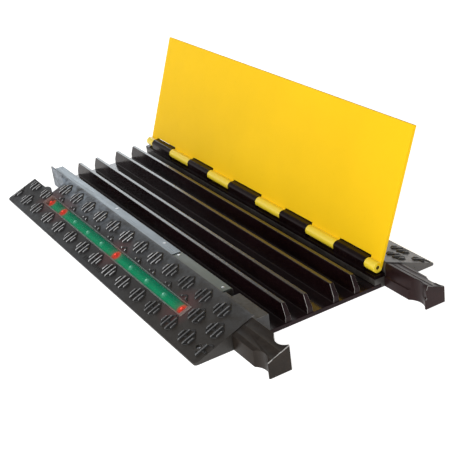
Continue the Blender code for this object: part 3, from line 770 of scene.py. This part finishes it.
def smooth_by_angle(obj, limit_deg):
    bm = bmesh.new()
    bm.from_mesh(obj.data)
    limit = math.radians(limit_deg)
    for face in bm.faces:
        face.smooth = True
    for edge in bm.edges:
        edge.smooth = len(edge.link_faces) == 2 and edge.calc_face_angle(0.0) < limit
    bm.to_mesh(obj.data)
    bm.free()


def publish(obj, name, finishes, slot, body, *nodes):
    """Name, scale, colour and attach a finished shape."""
    obj.name = name
    obj.data.name = name
    obj.data.transform(Matrix.Scale(MM, 4) @ Matrix.Translation((0.0, -HALF_W, 0.0)))
    for material in finishes:
        obj.data.materials.append(material)
    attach(obj, body)
    if nodes:
        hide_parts(*nodes)


def paint_faces(obj, index, chosen):
    """Give the faces whose centre and normal pass the test another of the piece's finishes."""
    for face in obj.data.polygons:
        if chosen(face.center, face.normal):
            face.material_index = index


def lamp_x(index):
    return LED_X0 + (index - (LED_COUNT - 1) / 2.0) * LED_PITCH


def slope_point(along, lift):
    """(y, z) on the front ramp face: distance up the slope and height above it."""
    return (
        along * math.cos(SLOPE) - lift * math.sin(SLOPE),
        EDGE_Z + along * math.sin(SLOPE) + lift * math.cos(SLOPE),
    )


def knuckle_spans():
    """(start, end, whether it is the lid's) of each knuckle along X."""
    spans = []
    cursor = -HALF_L
    for index, width in enumerate(KNUCKLES):
        spans.append((cursor, cursor + width, index % 2 == 0))
        cursor += width
    return spans


def screw_recesses(stem):
    """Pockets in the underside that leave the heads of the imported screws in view."""
    tools = []
    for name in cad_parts:
        if name.startswith(stem):
            low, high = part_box(name)
            radius = (high[0] - low[0]) / 2 / MM + GAP
            x = (low[0] + high[0]) / 2 / MM
            y = (low[1] + high[1]) / 2 / MM + HALF_W
            pocket = rod(radius, RECESS_LOW, SCREW_HEAD_TOP)
            tools.append(lathe("recess", pocket, (x, y, 0.0), segments=32))
    return tools


# -------- channel base
def base_section(y0, y1):
    """Floor with the four tapered dividers standing on it, as (y, z) pairs."""
    outline = [(y0, 0.0), (y1, 0.0), (y1, FLOOR_Z)]
    for y in reversed(DIVIDERS):
        outline += [
            (y + DIVIDER_FOOT_W / 2, FLOOR_Z),
            (y + DIVIDER_TOP_W / 2, DIVIDER_TOP),
            (y - DIVIDER_TOP_W / 2, DIVIDER_TOP),
            (y - DIVIDER_FOOT_W / 2, FLOOR_Z),
        ]
    return outline + [(y0, FLOOR_Z)]


def nose_cutter(side, y0, y1):
    """Takes the dividers' ends off: upright at the bottom, then leaning back to the top."""
    outline = [
        (side * (HALF_L + CUT_PAST), FLOOR_Z),
        (side * (HALF_L - NOSE_FOOT), FLOOR_Z),
        (side * (HALF_L - NOSE_FOOT), NOSE_Z),
        (side * (HALF_L - NOSE_TOP), DIVIDER_TOP),
        (side * (HALF_L - NOSE_LEAN), CUT_HIGH),
        (side * (HALF_L + CUT_PAST), CUT_HIGH),
    ]
    return prism("nose", outline, y0, y1, "y")


# Besides the plain finish: worn, a pale edge finish with a painted highlight; end and wall, duller
# copies painted as shade; top, a lighter copy painted as sheen.
def build_base(plain, worn, end, wall, top):
    y0 = WALL_FRONT - TONGUE + GAP
    y1 = WALL_REAR + TONGUE - GAP
    base = prism("base", base_section(y0, y1), -HALF_L, HALF_L)
    tools = [nose_cutter(side, y0 - CUT_PAST, y1 + CUT_PAST) for side in (-1.0, 1.0)]
    tools += screw_recesses("front_ramp_screw")
    tools += screw_recesses("rear_ramp_screw")
    combine(base, tools)
    settle(base)
    soften(base, 0.8, 3, 22.0)

    def on_nose_edge(centre, normal):
        at_nose = abs(centre.x) > HALF_L - NOSE_LINE and centre.z > FLOOR_Z + 1.5
        return at_nose and 0.35 < abs(normal.y) < 0.95

    # Divider tops take the lighter copy, a painted sheen.
    paint_faces(base, 4, lambda centre, normal: normal.z > 0.9 and centre.z > DIVIDER_TOP - 1.0)
    # Divider sides facing the front take the darker copy, painted shade.
    paint_faces(base, 3, lambda centre, normal: normal.y < -0.95)
    # Ends facing +X take the duller copy, painted shade.
    paint_faces(base, 2, lambda centre, normal: normal.x > 0.6)
    # Nose edges take the pale edge finish, wear with a painted highlight.
    paint_faces(base, 1, on_nose_edge)
    finishes = (plain, worn, end, wall, top)
    publish(base, "channel_tray", finishes, "channel_urethane", "base", "channel_base")


# -------- ramps
def front_profile():
    return [
        (0.0, 0.0),
        (0.0, EDGE_Z - TOE_EASE),
        (TOE_EASE, EDGE_Z + TOE_LIFT),
        (RISE_Y, RISE_Z),
        (RISE_Y + RIDGE_EASE[0], RIDGE_Z - RIDGE_EASE[1]),
        (RIDGE_Y, RIDGE_Z),
        (RIDGE_Y, LEDGE_Z),
        (WALL_FRONT, LEDGE_Z),
        (WALL_FRONT, FLOOR_Z + GAP),
        (WALL_FRONT - TONGUE, FLOOR_Z + GAP),
        (WALL_FRONT - TONGUE, 0.0),
    ]


def rear_profile():
    return [
        (WALL_REAR + TONGUE, 0.0),
        (WALL_REAR + TONGUE, FLOOR_Z + GAP),
        (WALL_REAR, FLOOR_Z + GAP),
        (WALL_REAR, SHELF_Z),
        (BACK_WALL_Y, SHELF_Z),
        (BACK_WALL_Y, BACK_WALL_Z),
        (REAR_RIDGE_Y, REAR_RIDGE_Z),
        (REAR_RIDGE_Y + REAR_RIDGE_EASE[0], REAR_RIDGE_Z + REAR_RIDGE_EASE[1]),
        (WIDTH - TOE_EASE, EDGE_Z + TOE_LIFT),
        (WIDTH, EDGE_Z - TOE_EASE),
        (WIDTH, 0.0),
    ]


def socket_outline():
    """The connector's outline, grown by the clearance, as (x, y) pairs at the socket end."""
    x0 = -HALF_L - CUT_PAST
    x1 = -HALF_L + ARM_REACH + SOCKET_CLEAR
    near = ARM_Y0 - SOCKET_CLEAR
    far = ARM_Y1 + SOCKET_CLEAR
    centre_x = -HALF_L + SCOOP_X
    radius = SCOOP_R - SOCKET_CLEAR
    set_out = SCOOP_SET + SOCKET_CLEAR
    reach = math.degrees(math.acos(set_out / radius))
    neck_near = arc((centre_x, near - set_out), radius, 90.0 + reach, 90.0 - reach, 20)
    neck_far = arc((centre_x, far + set_out), radius, 270.0 + reach, 270.0 - reach, 20)
    return [(x0, near)] + neck_near + [(x1, near), (x1, far)] + neck_far + [(x0, far)]


def corner_tools(front):
    """Cutters that round the two toe corners."""
    tools = []
    for side in (-1.0, 1.0):
        outer = side * (HALF_L + CUT_OVER)
        inner = side * (HALF_L - CORNER_R)
        end = 180.0 if side < 0 else 360.0
        outline = [(outer, -CUT_OVER), (inner, -CUT_OVER)]
        outline += arc((inner, CORNER_R), CORNER_R, 270.0, end, 10)
        outline += [(outer, CORNER_R)]
        if not front:
            outline = mirror_y(outline)
        tools.append(prism("corner", outline, -CUT_OVER, CORNER_TOP, "z"))
    return tools


def light_recess():
    """Outline of the light's recess, square to the slope, as (y, z) pairs."""
    corners = box_outline(LIGHT_U0, LIGHT_U1, -LIGHT_DEPTH, CUT_PAST)
    return [slope_point(along, lift) for along, lift in corners]


def build_front_ramp(plain, rubbed_highlight, underside):
    ramp = prism("ramp", front_profile(), -HALF_L, HALF_L)
    past_wall = WALL_FRONT + CUT_OVER
    pocket = box_outline(STRIP_Y0 - GAP, past_wall, POCKET_Z, CUT_HIGH)
    notch = box_outline(NOTCH_Y, past_wall, NOTCH_Z, CUT_HIGH)
    tools = corner_tools(True)
    tools += screw_recesses("front_arm_screw")
    tools += [
        prism("socket", socket_outline(), CUT_LOW, CUT_HIGH, "z"),
        prism("recess", light_recess(), -LIGHT_HALF, LIGHT_HALF),
        prism("pocket", pocket, -HALF_L - CUT_OVER, NOTCH[0] + 1.0),
        prism("notch", notch, *NOTCH),
        lathe("hole", CORNER_HOLE, (*CORNER_SCREW, 0.0)),
    ]
    combine(ramp, tools)
    settle(ramp)
    soften(ramp, 0.5)

    def on_end_edge(centre, normal):
        at_end = abs(centre.x) > HALF_L - 0.6 and centre.y > RUBBED_HIGHLIGHT_Y
        return at_end and normal.z > 0.2 and abs(normal.x) > 0.2

    # End edges high on the ramp take the grey edge finish, wear with a painted highlight.
    paint_faces(ramp, 1, on_end_edge)
    paint_faces(ramp, 2, lambda centre, normal: normal.z < -0.5)
    finishes = (plain, rubbed_highlight, underside)
    publish(ramp, "front_ramp_shell", finishes, "black_urethane", "base", "front_ramp")


def build_rear_ramp(plain):
    ramp = prism("ramp", rear_profile(), -HALF_L, HALF_L)
    tools = corner_tools(False)
    tools += screw_recesses("rear_arm_screw")
    tools.append(prism("socket", mirror_y(socket_outline()), CUT_LOW, CUT_HIGH, "z"))
    combine(ramp, tools)
    settle(ramp)
    soften(ramp, 0.7)
    publish(ramp, "rear_ramp_shell", (plain,), "black_urethane", "base", "rear_ramp")


# -------- treads
def slimmed(width, share):
    """A width for a bar of that share of the full height: low bars are slimmer."""
    return width * (0.55 + 0.45 * share)


def rib_section(width, height):
    """Rib section as (across, up) pairs: flared foot sunk in the surface, round shoulders."""
    half = width / 2
    side = [
        (half * 1.5, -RIB_SINK),
        (half * 0.94, height * 0.5),
        (half * 0.74, height * 0.84),
        (half * 0.36, height),
    ]
    return [(-across, up) for across, up in side] + side[::-1]


def add_rib(bm, start, end, scale, to_space):
    """Rounded bar from start to end in surface coordinates, with domed tips."""
    run = Vector((end[0] - start[0], end[1] - start[1]))
    length = run.length
    along = run / length
    across = Vector((-along.y, along.x))
    width = slimmed(RIB_W, scale)
    height = RIB_H * scale
    bright = scale > FULL_RIB
    tip = min(RIB_TIP, length * 0.4)
    stations = ((0.0, 0.45), (tip * 0.4, 0.82), (tip, 1.0))
    stations += tuple((length - distance, size) for distance, size in reversed(stations))
    rings = []
    for distance, size in stations:
        ring = []
        for side, up in rib_section(slimmed(width, size), height):
            point = Vector(start) + along * distance + across * side
            lift = up if up < 0 else up * size
            ring.append(bm.verts.new(to_space(point.x, point.y, lift)))
        rings.append(ring)
    for first, second in zip(rings, rings[1:]):
        for i in range(len(first)):
            j = (i + 1) % len(first)
            face = bm.faces.new((first[i], first[j], second[j], second[i]))
            # Tops and upper shoulders of full bars take the pale finish, wear with a painted
            # highlight; every other face takes the near-black finish, painted shade.
            face.material_index = 1 if bright and 2 <= i <= 4 else 0
    bm.faces.new(list(reversed(rings[0])))
    bm.faces.new(rings[-1])


def trimmed(start, end, blocked):
    """The longest run of the rib that stays out of a blocked area, or nothing."""
    points = [Vector(start).lerp(Vector(end), step / TRIM_STEPS) for step in range(TRIM_STEPS + 1)]
    runs, run = [], []
    for point in points + [None]:
        if point is not None and not blocked(point):
            run.append(point)
        elif run:
            runs.append(run)
            run = []
    best = max(runs, key=len, default=[])
    if len(best) < 2 or (best[-1] - best[0]).length < SHORTEST_RIB:
        return None
    return best[0], best[-1]


def add_cluster(bm, centre_x, centre_v, to_space, blocked):
    centre = Vector((centre_x, centre_v))
    for start, end, scale in CLUSTER_RIBS:
        kept = trimmed(centre + Vector(start), centre + Vector(end), blocked)
        if kept:
            add_rib(bm, *kept, scale, to_space)


def front_face(x, y, lift):
    z = EDGE_Z + y * math.tan(SLOPE) + lift * math.cos(SLOPE)
    return (x, y - lift * math.sin(SLOPE), z)


def rear_face(x, y, lift):
    z = EDGE_Z + TOE_LIFT + (WIDTH - TOE_EASE - y) * math.tan(REAR_SLOPE)
    return (x, y + lift * math.sin(REAR_SLOPE), z + lift * math.cos(REAR_SLOPE))


def near_socket(x, from_toe):
    in_x = x < -HALF_L + ARM_REACH + SOCKET_KEEP
    return in_x and ARM_Y0 - SOCKET_KEEP < from_toe < ARM_Y1 + SOCKET_KEEP


def off_front_ramp(point):
    """True over the light, the arm socket, the corner screw and beyond the ramp's ends."""
    x, y = point
    over_light = abs(x) < LIGHT_HALF + LIGHT_KEEP_X and LIGHT_KEEP_Y[0] < y < LIGHT_KEEP_Y[1]
    over_screw = math.hypot(x - CORNER_SCREW[0], y - CORNER_SCREW[1]) < SCREW_KEEP
    return over_light or near_socket(x, y) or over_screw or abs(x) > HALF_L - END_KEEP


def off_rear_ramp(point):
    x, y = point
    return near_socket(x, WIDTH - y) or abs(x) > HALF_L - END_KEEP


def finish_treads(bm, name, finishes, slot, body):
    treads = temp_object(bm, "treads")
    smooth_by_angle(treads, 40.0)
    publish(treads, name, finishes, slot, body)


def build_front_treads(*finishes):
    bm = bmesh.new()
    for y, row in ROWS:
        for x in row:
            add_cluster(bm, x - HALF_L, y, front_face, off_front_ramp)
    for index in range(GRIP_COUNT):
        x = GRIP_X0 + index * GRIP_PITCH - HALF_L
        add_rib(bm, (x, GRIP_Y[0]), (x + GRIP_LEAN, GRIP_Y[1]), GRIP_HEIGHT, front_face)
    finish_treads(bm, "front_ramp_treads", finishes, "black_urethane", "base")


def build_rear_treads(*finishes):
    bm = bmesh.new()
    for y, row in ROWS:
        for x in row:
            add_cluster(bm, x - HALF_L, WIDTH - y, rear_face, off_rear_ramp)
    finish_treads(bm, "rear_ramp_treads", finishes, "black_urethane", "base")


def lid_space():
    """Turns lid coordinates (about the hinge, lid closed) into the open rest pose."""
    return Matrix.Translation((0.0, HINGE_Y, HINGE_Z)) @ Matrix.Rotation(-LID_OPEN, 4, "X")


def build_lid_treads(yellow):
    bm = bmesh.new()
    matrix = lid_space()

    def lid_face(x, v, lift):
        return matrix @ Vector((x, v, BARREL_R + lift))

    def off_lid(point):
        return abs(point[0]) > LID_HALF - LID_END_KEEP

    for row in range(LID_ROWS):
        v = -LID_REACH + LID_ROW_START + row * LID_ROW_PITCH
        shift = LID_STAGGER if row % 2 else 0.0
        for column in range(LID_COLUMNS):
            x = LID_COLUMN_START + column * LID_COLUMN_PITCH + shift
            add_cluster(bm, x, v, lid_face, off_lid)
    finish_treads(bm, "lid_treads", (yellow,), "yellow_urethane", "lid")


# -------- connectors
def arm_top(y):
    """Height of the arm's sloping top at a distance from its own toe."""
    return EDGE_Z + y * math.tan(SLOPE) - ARM_DROP


def arm_lines():
    """Two fine raised mould lines along the arm's sloping top, from the toe side up."""
    points = []
    for line_y in ARM_LINES:
        for across, lift in ARM_LINE_SHAPE:
            y = line_y + across
            points.append((y, arm_top(y) + lift))
    return points


def front_arm_outline():
    shoulder = ARM_Y1 - ARM_SHOULDER
    return [
        (ARM_Y0, 0.0),
        (ARM_Y0, arm_top(ARM_Y0)),
        *arm_lines(),
        (shoulder, arm_top(shoulder)),
        (ARM_Y1, RIDGE_Z - RIDGE_EASE[1] - ARM_DROP),
        (ARM_Y1, 0.0),
    ]


def rear_arm_outline():
    """The front arm's mirror image, with its inner side stepped to clear the hinge rail."""
    y0 = WIDTH - ARM_Y1
    y1 = WIDTH - ARM_Y0
    return [
        (y0, 0.0),
        (y0, RAIL_FOOT - ARM_DROP),
        (y0 + ARM_RAIL_STEP, RAIL_FOOT + ARM_DROP),
        (y0 + ARM_RAIL_STEP, BACK_WALL_Z - ARM_DROP),
        (REAR_RIDGE_Y + ARM_RIDGE_SET, REAR_RIDGE_Z - ARM_DROP),
        *[(WIDTH - y, z) for y, z in reversed(arm_lines())],
        (y1, arm_top(ARM_Y0)),
        (y1, 0.0),
    ]


def build_arm(name, node, outline, scoop_places, plain, edge):
    """Dog-bone arm: tapered shank, scooped neck and square head."""
    arm = prism("arm", outline, HALF_L + GAP, HALF_L + ARM_REACH)
    scoop = rod(SCOOP_R, CUT_LOW, CUT_HIGH)
    x = HALF_L + SCOOP_X
    combine(arm, [lathe("scoop", scoop, (x, y, 0.0), segments=96) for y in scoop_places])
    settle(arm)
    soften(arm, 1.1, 3, 55.0)

    def on_head_edge(centre, normal):
        return centre.x > HALF_L + ARM_REACH - 1.0 and normal.z > 0.15 and normal.x > 0.15

    # The head's top edge takes the edge finish, wear with a painted highlight.
    paint_faces(arm, 1, on_head_edge)
    publish(arm, name, (plain, edge), "connector_urethane", "base", node)


# -------- hinge rail and lid
def rail_section():
    return [
        (WALL_REAR, RAIL_FOOT),
        (RAIL_REAR, RAIL_FOOT),
        (RAIL_REAR, KNUCKLE_BACK_Z),
        (RAIL_REAR - KNUCKLE_EASE, KNUCKLE_TOP),
        *arc((HINGE_Y, HINGE_Z), BARREL_R, 75.0, 180.0, 20),
        (HINGE_Y - BARREL_R, RAIL_TOP),
        (WALL_REAR, RAIL_TOP),
    ]


def add_fin(rail, start, end):
    """Thin fin behind a knuckle, which closes the slit over the rear ramp's wall."""
    outline = box_outline(RAIL_REAR - FIN_ROOT, FIN_REAR, *FIN_Z)
    fin = prism("fin", outline, start + KNUCKLE_GAP, end - KNUCKLE_GAP)
    combine(rail, [fin], "UNION")


def build_rail(plain):
    rail = prism("rail", rail_section(), -HALF_L, HALF_L)
    spans = knuckle_spans()
    first_black = spans[1]
    add_fin(rail, first_black[0], first_black[1])
    room = box_outline(HINGE_Y - KNUCKLE_ROOM, HINGE_Y + KNUCKLE_ROOM, RAIL_TOP, CUT_HIGH)
    tools = []
    for index, (start, end, on_lid) in enumerate(spans):
        if on_lid:
            x0 = start - (KNUCKLE_GAP if index else CUT_OVER)
            x1 = end + (KNUCKLE_GAP if end < HALF_L - 1.0 else CUT_OVER)
            tools.append(prism("clear", room, x0, x1))
    bore = rod(BORE_R, -HALF_L - CUT_OVER, HALF_L + CUT_OVER)
    tools.append(lathe("bore", bore, (0.0, HINGE_Y, HINGE_Z), "x"))
    combine(rail, tools)
    settle(rail)
    soften(rail, 0.45, 2, 25.0)
    publish(rail, "hinge_rail_body", (plain,), "channel_urethane", "base", "hinge_rail")


def build_lid(plain, barrel):
    """Built closed about the hinge axis, then turned open."""
    under = BARREL_R - LID_THICK
    tangent = 180.0 - math.degrees(math.asin(under / BARREL_R))
    outline = [(-LID_REACH, under)]
    outline += arc((0.0, 0.0), BARREL_R, tangent, 450.0, 48)
    outline += [(-LID_REACH, BARREL_R)]
    lid = prism("lid", outline, -LID_HALF, LID_HALF)
    relief = box_outline(-LID_RELIEF, KNUCKLE_ROOM, -KNUCKLE_ROOM, KNUCKLE_ROOM)
    tools = []
    for start, end, on_lid in knuckle_spans():
        if not on_lid:
            tools.append(prism("clear", relief, start - KNUCKLE_GAP, end + KNUCKLE_GAP))
    bore = rod(BORE_R, -LID_HALF - CUT_OVER, LID_HALF + CUT_OVER)
    tools.append(lathe("bore", bore, (0.0, 0.0, 0.0), "x"))
    combine(lid, tools)
    settle(lid)
    soften(lid, 0.8, 3, 25.0)
    # The barrel faces take the brighter yellow copy, a painted highlight.
    paint_faces(lid, 1, lambda centre, normal: math.hypot(centre.y, centre.z) < BARREL_R + 0.5)
    lid.data.transform(lid_space())
    publish(lid, "lid_panel", (plain, barrel), "yellow_urethane", "lid", "lid")


# -------- light unit
def lens_section(u0, u1):
    """Channel section of the light cover as (up the slope, above it) pairs."""
    floor = -LIGHT_DEPTH + GAP
    skin = LENS_PROUD - LENS_SKIN
    return [
        (u0, floor),
        (u0 + LENS_LEG, floor),
        (u0 + LENS_LEG, skin),
        (u1 - LENS_LEG, skin),
        (u1 - LENS_LEG, floor),
        (u1, floor),
        (u1, LENS_PROUD - LENS_EASE),
        (u1 - LENS_EASE, LENS_PROUD),
        (u1 - LENS_LEG, LENS_PROUD),
        (u0 + LENS_LEG, LENS_PROUD),
        (u0 + LENS_EASE, LENS_PROUD),
        (u0, LENS_PROUD - LENS_EASE),
    ]


def split_along_slope(obj, distances):
    """Cut the faces at planes square to the slope, so each side can take its own finish."""
    bm = bmesh.new()
    bm.from_mesh(obj.data)
    for along in distances:
        y, z = slope_point(along, 0.0)
        geometry = bm.verts[:] + bm.edges[:] + bm.faces[:]
        normal = (0.0, math.cos(SLOPE), math.sin(SLOPE))
        bmesh.ops.bisect_plane(bm, geom=geometry, plane_co=(0.0, y, z), plane_no=normal)
    bm.to_mesh(obj.data)
    bm.free()


def build_lens(clear, leg_highlight):
    """Clear cover whose two legs take a paler, cloudier finish: a painted highlight along its
    edges.
    """
    u0 = LIGHT_U0 + GAP
    u1 = LIGHT_U1 - GAP
    outline = [slope_point(*pair) for pair in lens_section(u0, u1)]
    lens = prism("lens", outline, -LENS_HALF, LENS_HALF)
    split_along_slope(lens, (u0 + LENS_LEG, u1 - LENS_LEG))

    def on_leg(centre, normal):
        along = centre.y * math.cos(SLOPE) + (centre.z - EDGE_Z) * math.sin(SLOPE)
        return along < u0 + LENS_LEG or along > u1 - LENS_LEG

    paint_faces(lens, 1, on_leg)
    publish(lens, "lens_cover", (clear, leg_highlight), "clear_lens", "base", "led_lens")


def build_lens_cap(word, side, clear):
    """Moulded end of the light cover with three fine cross ribs."""
    start = LENS_HALF + GAP
    end = LIGHT_HALF - GAP
    top = LENS_PROUD + CAP_LIFT
    bottom = -LIGHT_DEPTH + GAP
    outline = [(start, bottom), (end, bottom), (end, top)]
    for offset in reversed(CAP_RIBS):
        for shift, drop in CAP_RIB_SHAPE:
            outline.append((start + offset + shift, top - drop))
    outline.append((start, top - CAP_GROOVE))
    bm = bmesh.new()
    near = [bm.verts.new((side * x, *slope_point(LIGHT_U0 + GAP, lift))) for x, lift in outline]
    far = [bm.verts.new((side * x, *slope_point(LIGHT_U1 - GAP, lift))) for x, lift in outline]
    bm.faces.new(near)
    bm.faces.new(list(reversed(far)))
    for i in range(len(outline)):
        j = (i + 1) % len(outline)
        bm.faces.new((near[j], near[i], far[i], far[j]))
    cap = temp_object(bm, "cap")
    publish(cap, f"lens_end_{word}", (clear,), "clear_lens", "base", f"lens_cap_{word}")


def build_lamp(colour, number, index, rim, core):
    """Domed lamp with a flange and a bright core in its middle."""
    profile = [(0.0, 0.0), (LAMP_R, 0.0), (LAMP_R, LAMP_FLANGE)]
    for angle in LAMP_DOME_ANGLES:
        radius = LAMP_R * LAMP_DOME_R * math.cos(angle)
        profile.append((radius, LAMP_FLANGE + LAMP_DOME * math.sin(angle)))
    profile.append((0.0, LAMP_FLANGE + LAMP_DOME))
    board_top = -LIGHT_DEPTH + 2 * GAP + BOARD_T
    base = Vector((lamp_x(index), *slope_point((LIGHT_U0 + LIGHT_U1) / 2, board_top)))
    body = lathe("lamp", profile, base, "slope", 20)
    axis = Vector((0.0, -math.sin(SLOPE), math.cos(SLOPE)))

    def in_core(centre, normal):
        offset = centre - base
        lift = offset.dot(axis)
        return (offset - axis * lift).length < LAMP_CORE and lift > LAMP_CORE_LIFT

    paint_faces(body, 1, in_core)
    smooth_by_angle(body, 45.0)
    node = f"{colour}_led_{number}"
    publish(body, f"{colour}_lamp_{number}", (rim, core), f"{colour}_light", "base", node)


# -------- camera, light, floor
def build_camera():
    yaw, pitch, roll = (math.radians(value) for value in CAMERA_ANGLES)
    forward = Vector((
        math.cos(yaw) * math.cos(pitch),
        math.sin(yaw) * math.cos(pitch),
        -math.sin(pitch),
    ))
    level = Vector((math.sin(yaw), -math.cos(yaw), 0.0))
    above = level.cross(forward)
    right = level * math.cos(roll) + above * math.sin(roll)
    up = above * math.cos(roll) - level * math.sin(roll)
    data = bpy.data.cameras.new("camera")
    data.sensor_width = CAMERA_SENSOR
    data.lens = CAMERA_LENS
    camera = bpy.data.objects.new("camera", data)
    matrix = Matrix((right, up, -forward)).transposed().to_4x4()
    matrix.translation = CAMERA_PLACE
    camera.matrix_world = matrix
    bpy.context.scene.collection.objects.link(camera)
    bpy.context.scene.camera = camera


def area_light(name, place, target, size, power, tint=WHITE):
    data = bpy.data.lights.new(name, "AREA")
    data.shape = "RECTANGLE"
    data.size, data.size_y = size
    data.energy = power
    data.color = tint
    light = bpy.data.objects.new(name, data)
    light.location = place
    aim = Vector(target) - Vector(place)
    light.rotation_euler = aim.to_track_quat("-Z", "Y").to_euler()
    light.visible_camera = False
    bpy.context.scene.collection.objects.link(light)


def build_sky():
    """Pale sweep round the horizon and a darker ceiling, by height alone."""
    world = bpy.data.worlds.new("studio")
    world.use_nodes = True
    tree = world.node_tree
    background = tree.nodes["Background"]
    coords = tree.nodes.new("ShaderNodeTexCoord")
    split = tree.nodes.new("ShaderNodeSeparateXYZ")
    ramp = tree.nodes.new("ShaderNodeValToRGB")
    elements = ramp.color_ramp.elements
    while len(elements) < len(SKY):
        elements.new(0.5)
    for element, (height, level) in zip(elements, SKY):
        element.position = height
        element.color = (*grey(level), 1.0)
    tree.links.new(coords.outputs["Generated"], split.inputs["Vector"])
    tree.links.new(split.outputs["Z"], ramp.inputs["Fac"])
    tree.links.new(ramp.outputs["Color"], background.inputs["Color"])
    background.inputs["Strength"].default_value = 1.0
    bpy.context.scene.world = world


def build_floor():
    """Pale paper that sinks slightly towards its edges."""
    bm = bmesh.new()
    bmesh.ops.create_grid(bm, x_segments=FLOOR_CELLS, y_segments=FLOOR_CELLS, size=FLOOR_HALF)
    for vertex in bm.verts:
        edge = max(abs(vertex.co.x), abs(vertex.co.y)) / FLOOR_HALF
        vertex.co.z = -FLOOR_DROP - FLOOR_SAG * edge * edge
    floor = temp_object(bm, "studio_floor")
    floor.data.materials.append(floor_paper("studio_floor"))


def build_studio():
    build_sky()
    bpy.context.scene.view_settings.view_transform = "Standard"
    area_light("key", (0.9, -1.9, 1.5), (0.0, 0.0, 0.1), (1.6, 1.2), 34.0)
    window_place = (-2.62, 0.98, 1.04)
    area_light("window", window_place, (0.0, -0.05, 0.04), (1.25, 0.8), 7.8, (0.88, 0.95, 1.0))
    build_floor()


# -------- the whole object
def build_light_unit(pick):
    build_lens(*pick("lens_clear", "lens_frosted"))
    for word, side in (("left", -1.0), ("right", 1.0)):
        build_lens_cap(word, side, *pick("cap_clear"))
    for index in range(LED_COUNT):
        colour, indices = ("red", LED_RED) if index in LED_RED else ("green", LED_GREEN)
        finishes = pick(f"{colour}_rim", f"{colour}_core")
        build_lamp(colour, indices.index(index) + 1, index, *finishes)


def build_arms(pick):
    scoops = (ARM_Y0 - SCOOP_SET, ARM_Y1 + SCOOP_SET)
    mirrored = tuple(WIDTH - y for y in scoops)
    front = pick("arm_urethane", "worn_edge")
    rear = pick("rear_arm_urethane", "rubbed_edge")
    build_arm("front_arm", "front_connector", front_arm_outline(), scoops, *front)
    build_arm("rear_arm", "rear_connector", rear_arm_outline(), mirrored, *rear)


def main():
    finishes = make_finishes()

    def pick(*names):
        return [finishes[name] for name in names]

    build_camera()
    build_studio()
    paint_nodes(finishes)
    build_base(*pick("tray_urethane", "worn_edge", "tray_end_shade", "tray_wall_shade", "tray_top_sheen"))
    build_front_ramp(*pick("ramp_urethane", "rubbed_edge", "underside_urethane"))
    build_rear_ramp(*pick("rear_urethane"))
    build_front_treads(*pick("tread_side_shade", "tread_top_wear_and_highlight"))
    build_rear_treads(*pick("tread_side_shade", "tread_top_wear_and_highlight"))
    build_light_unit(pick)
    build_rail(*pick("knuckle_urethane"))
    build_lid(*pick("safety_yellow", "barrel_yellow_highlight"))
    build_lid_treads(*pick("safety_yellow"))
    build_arms(pick)


main()
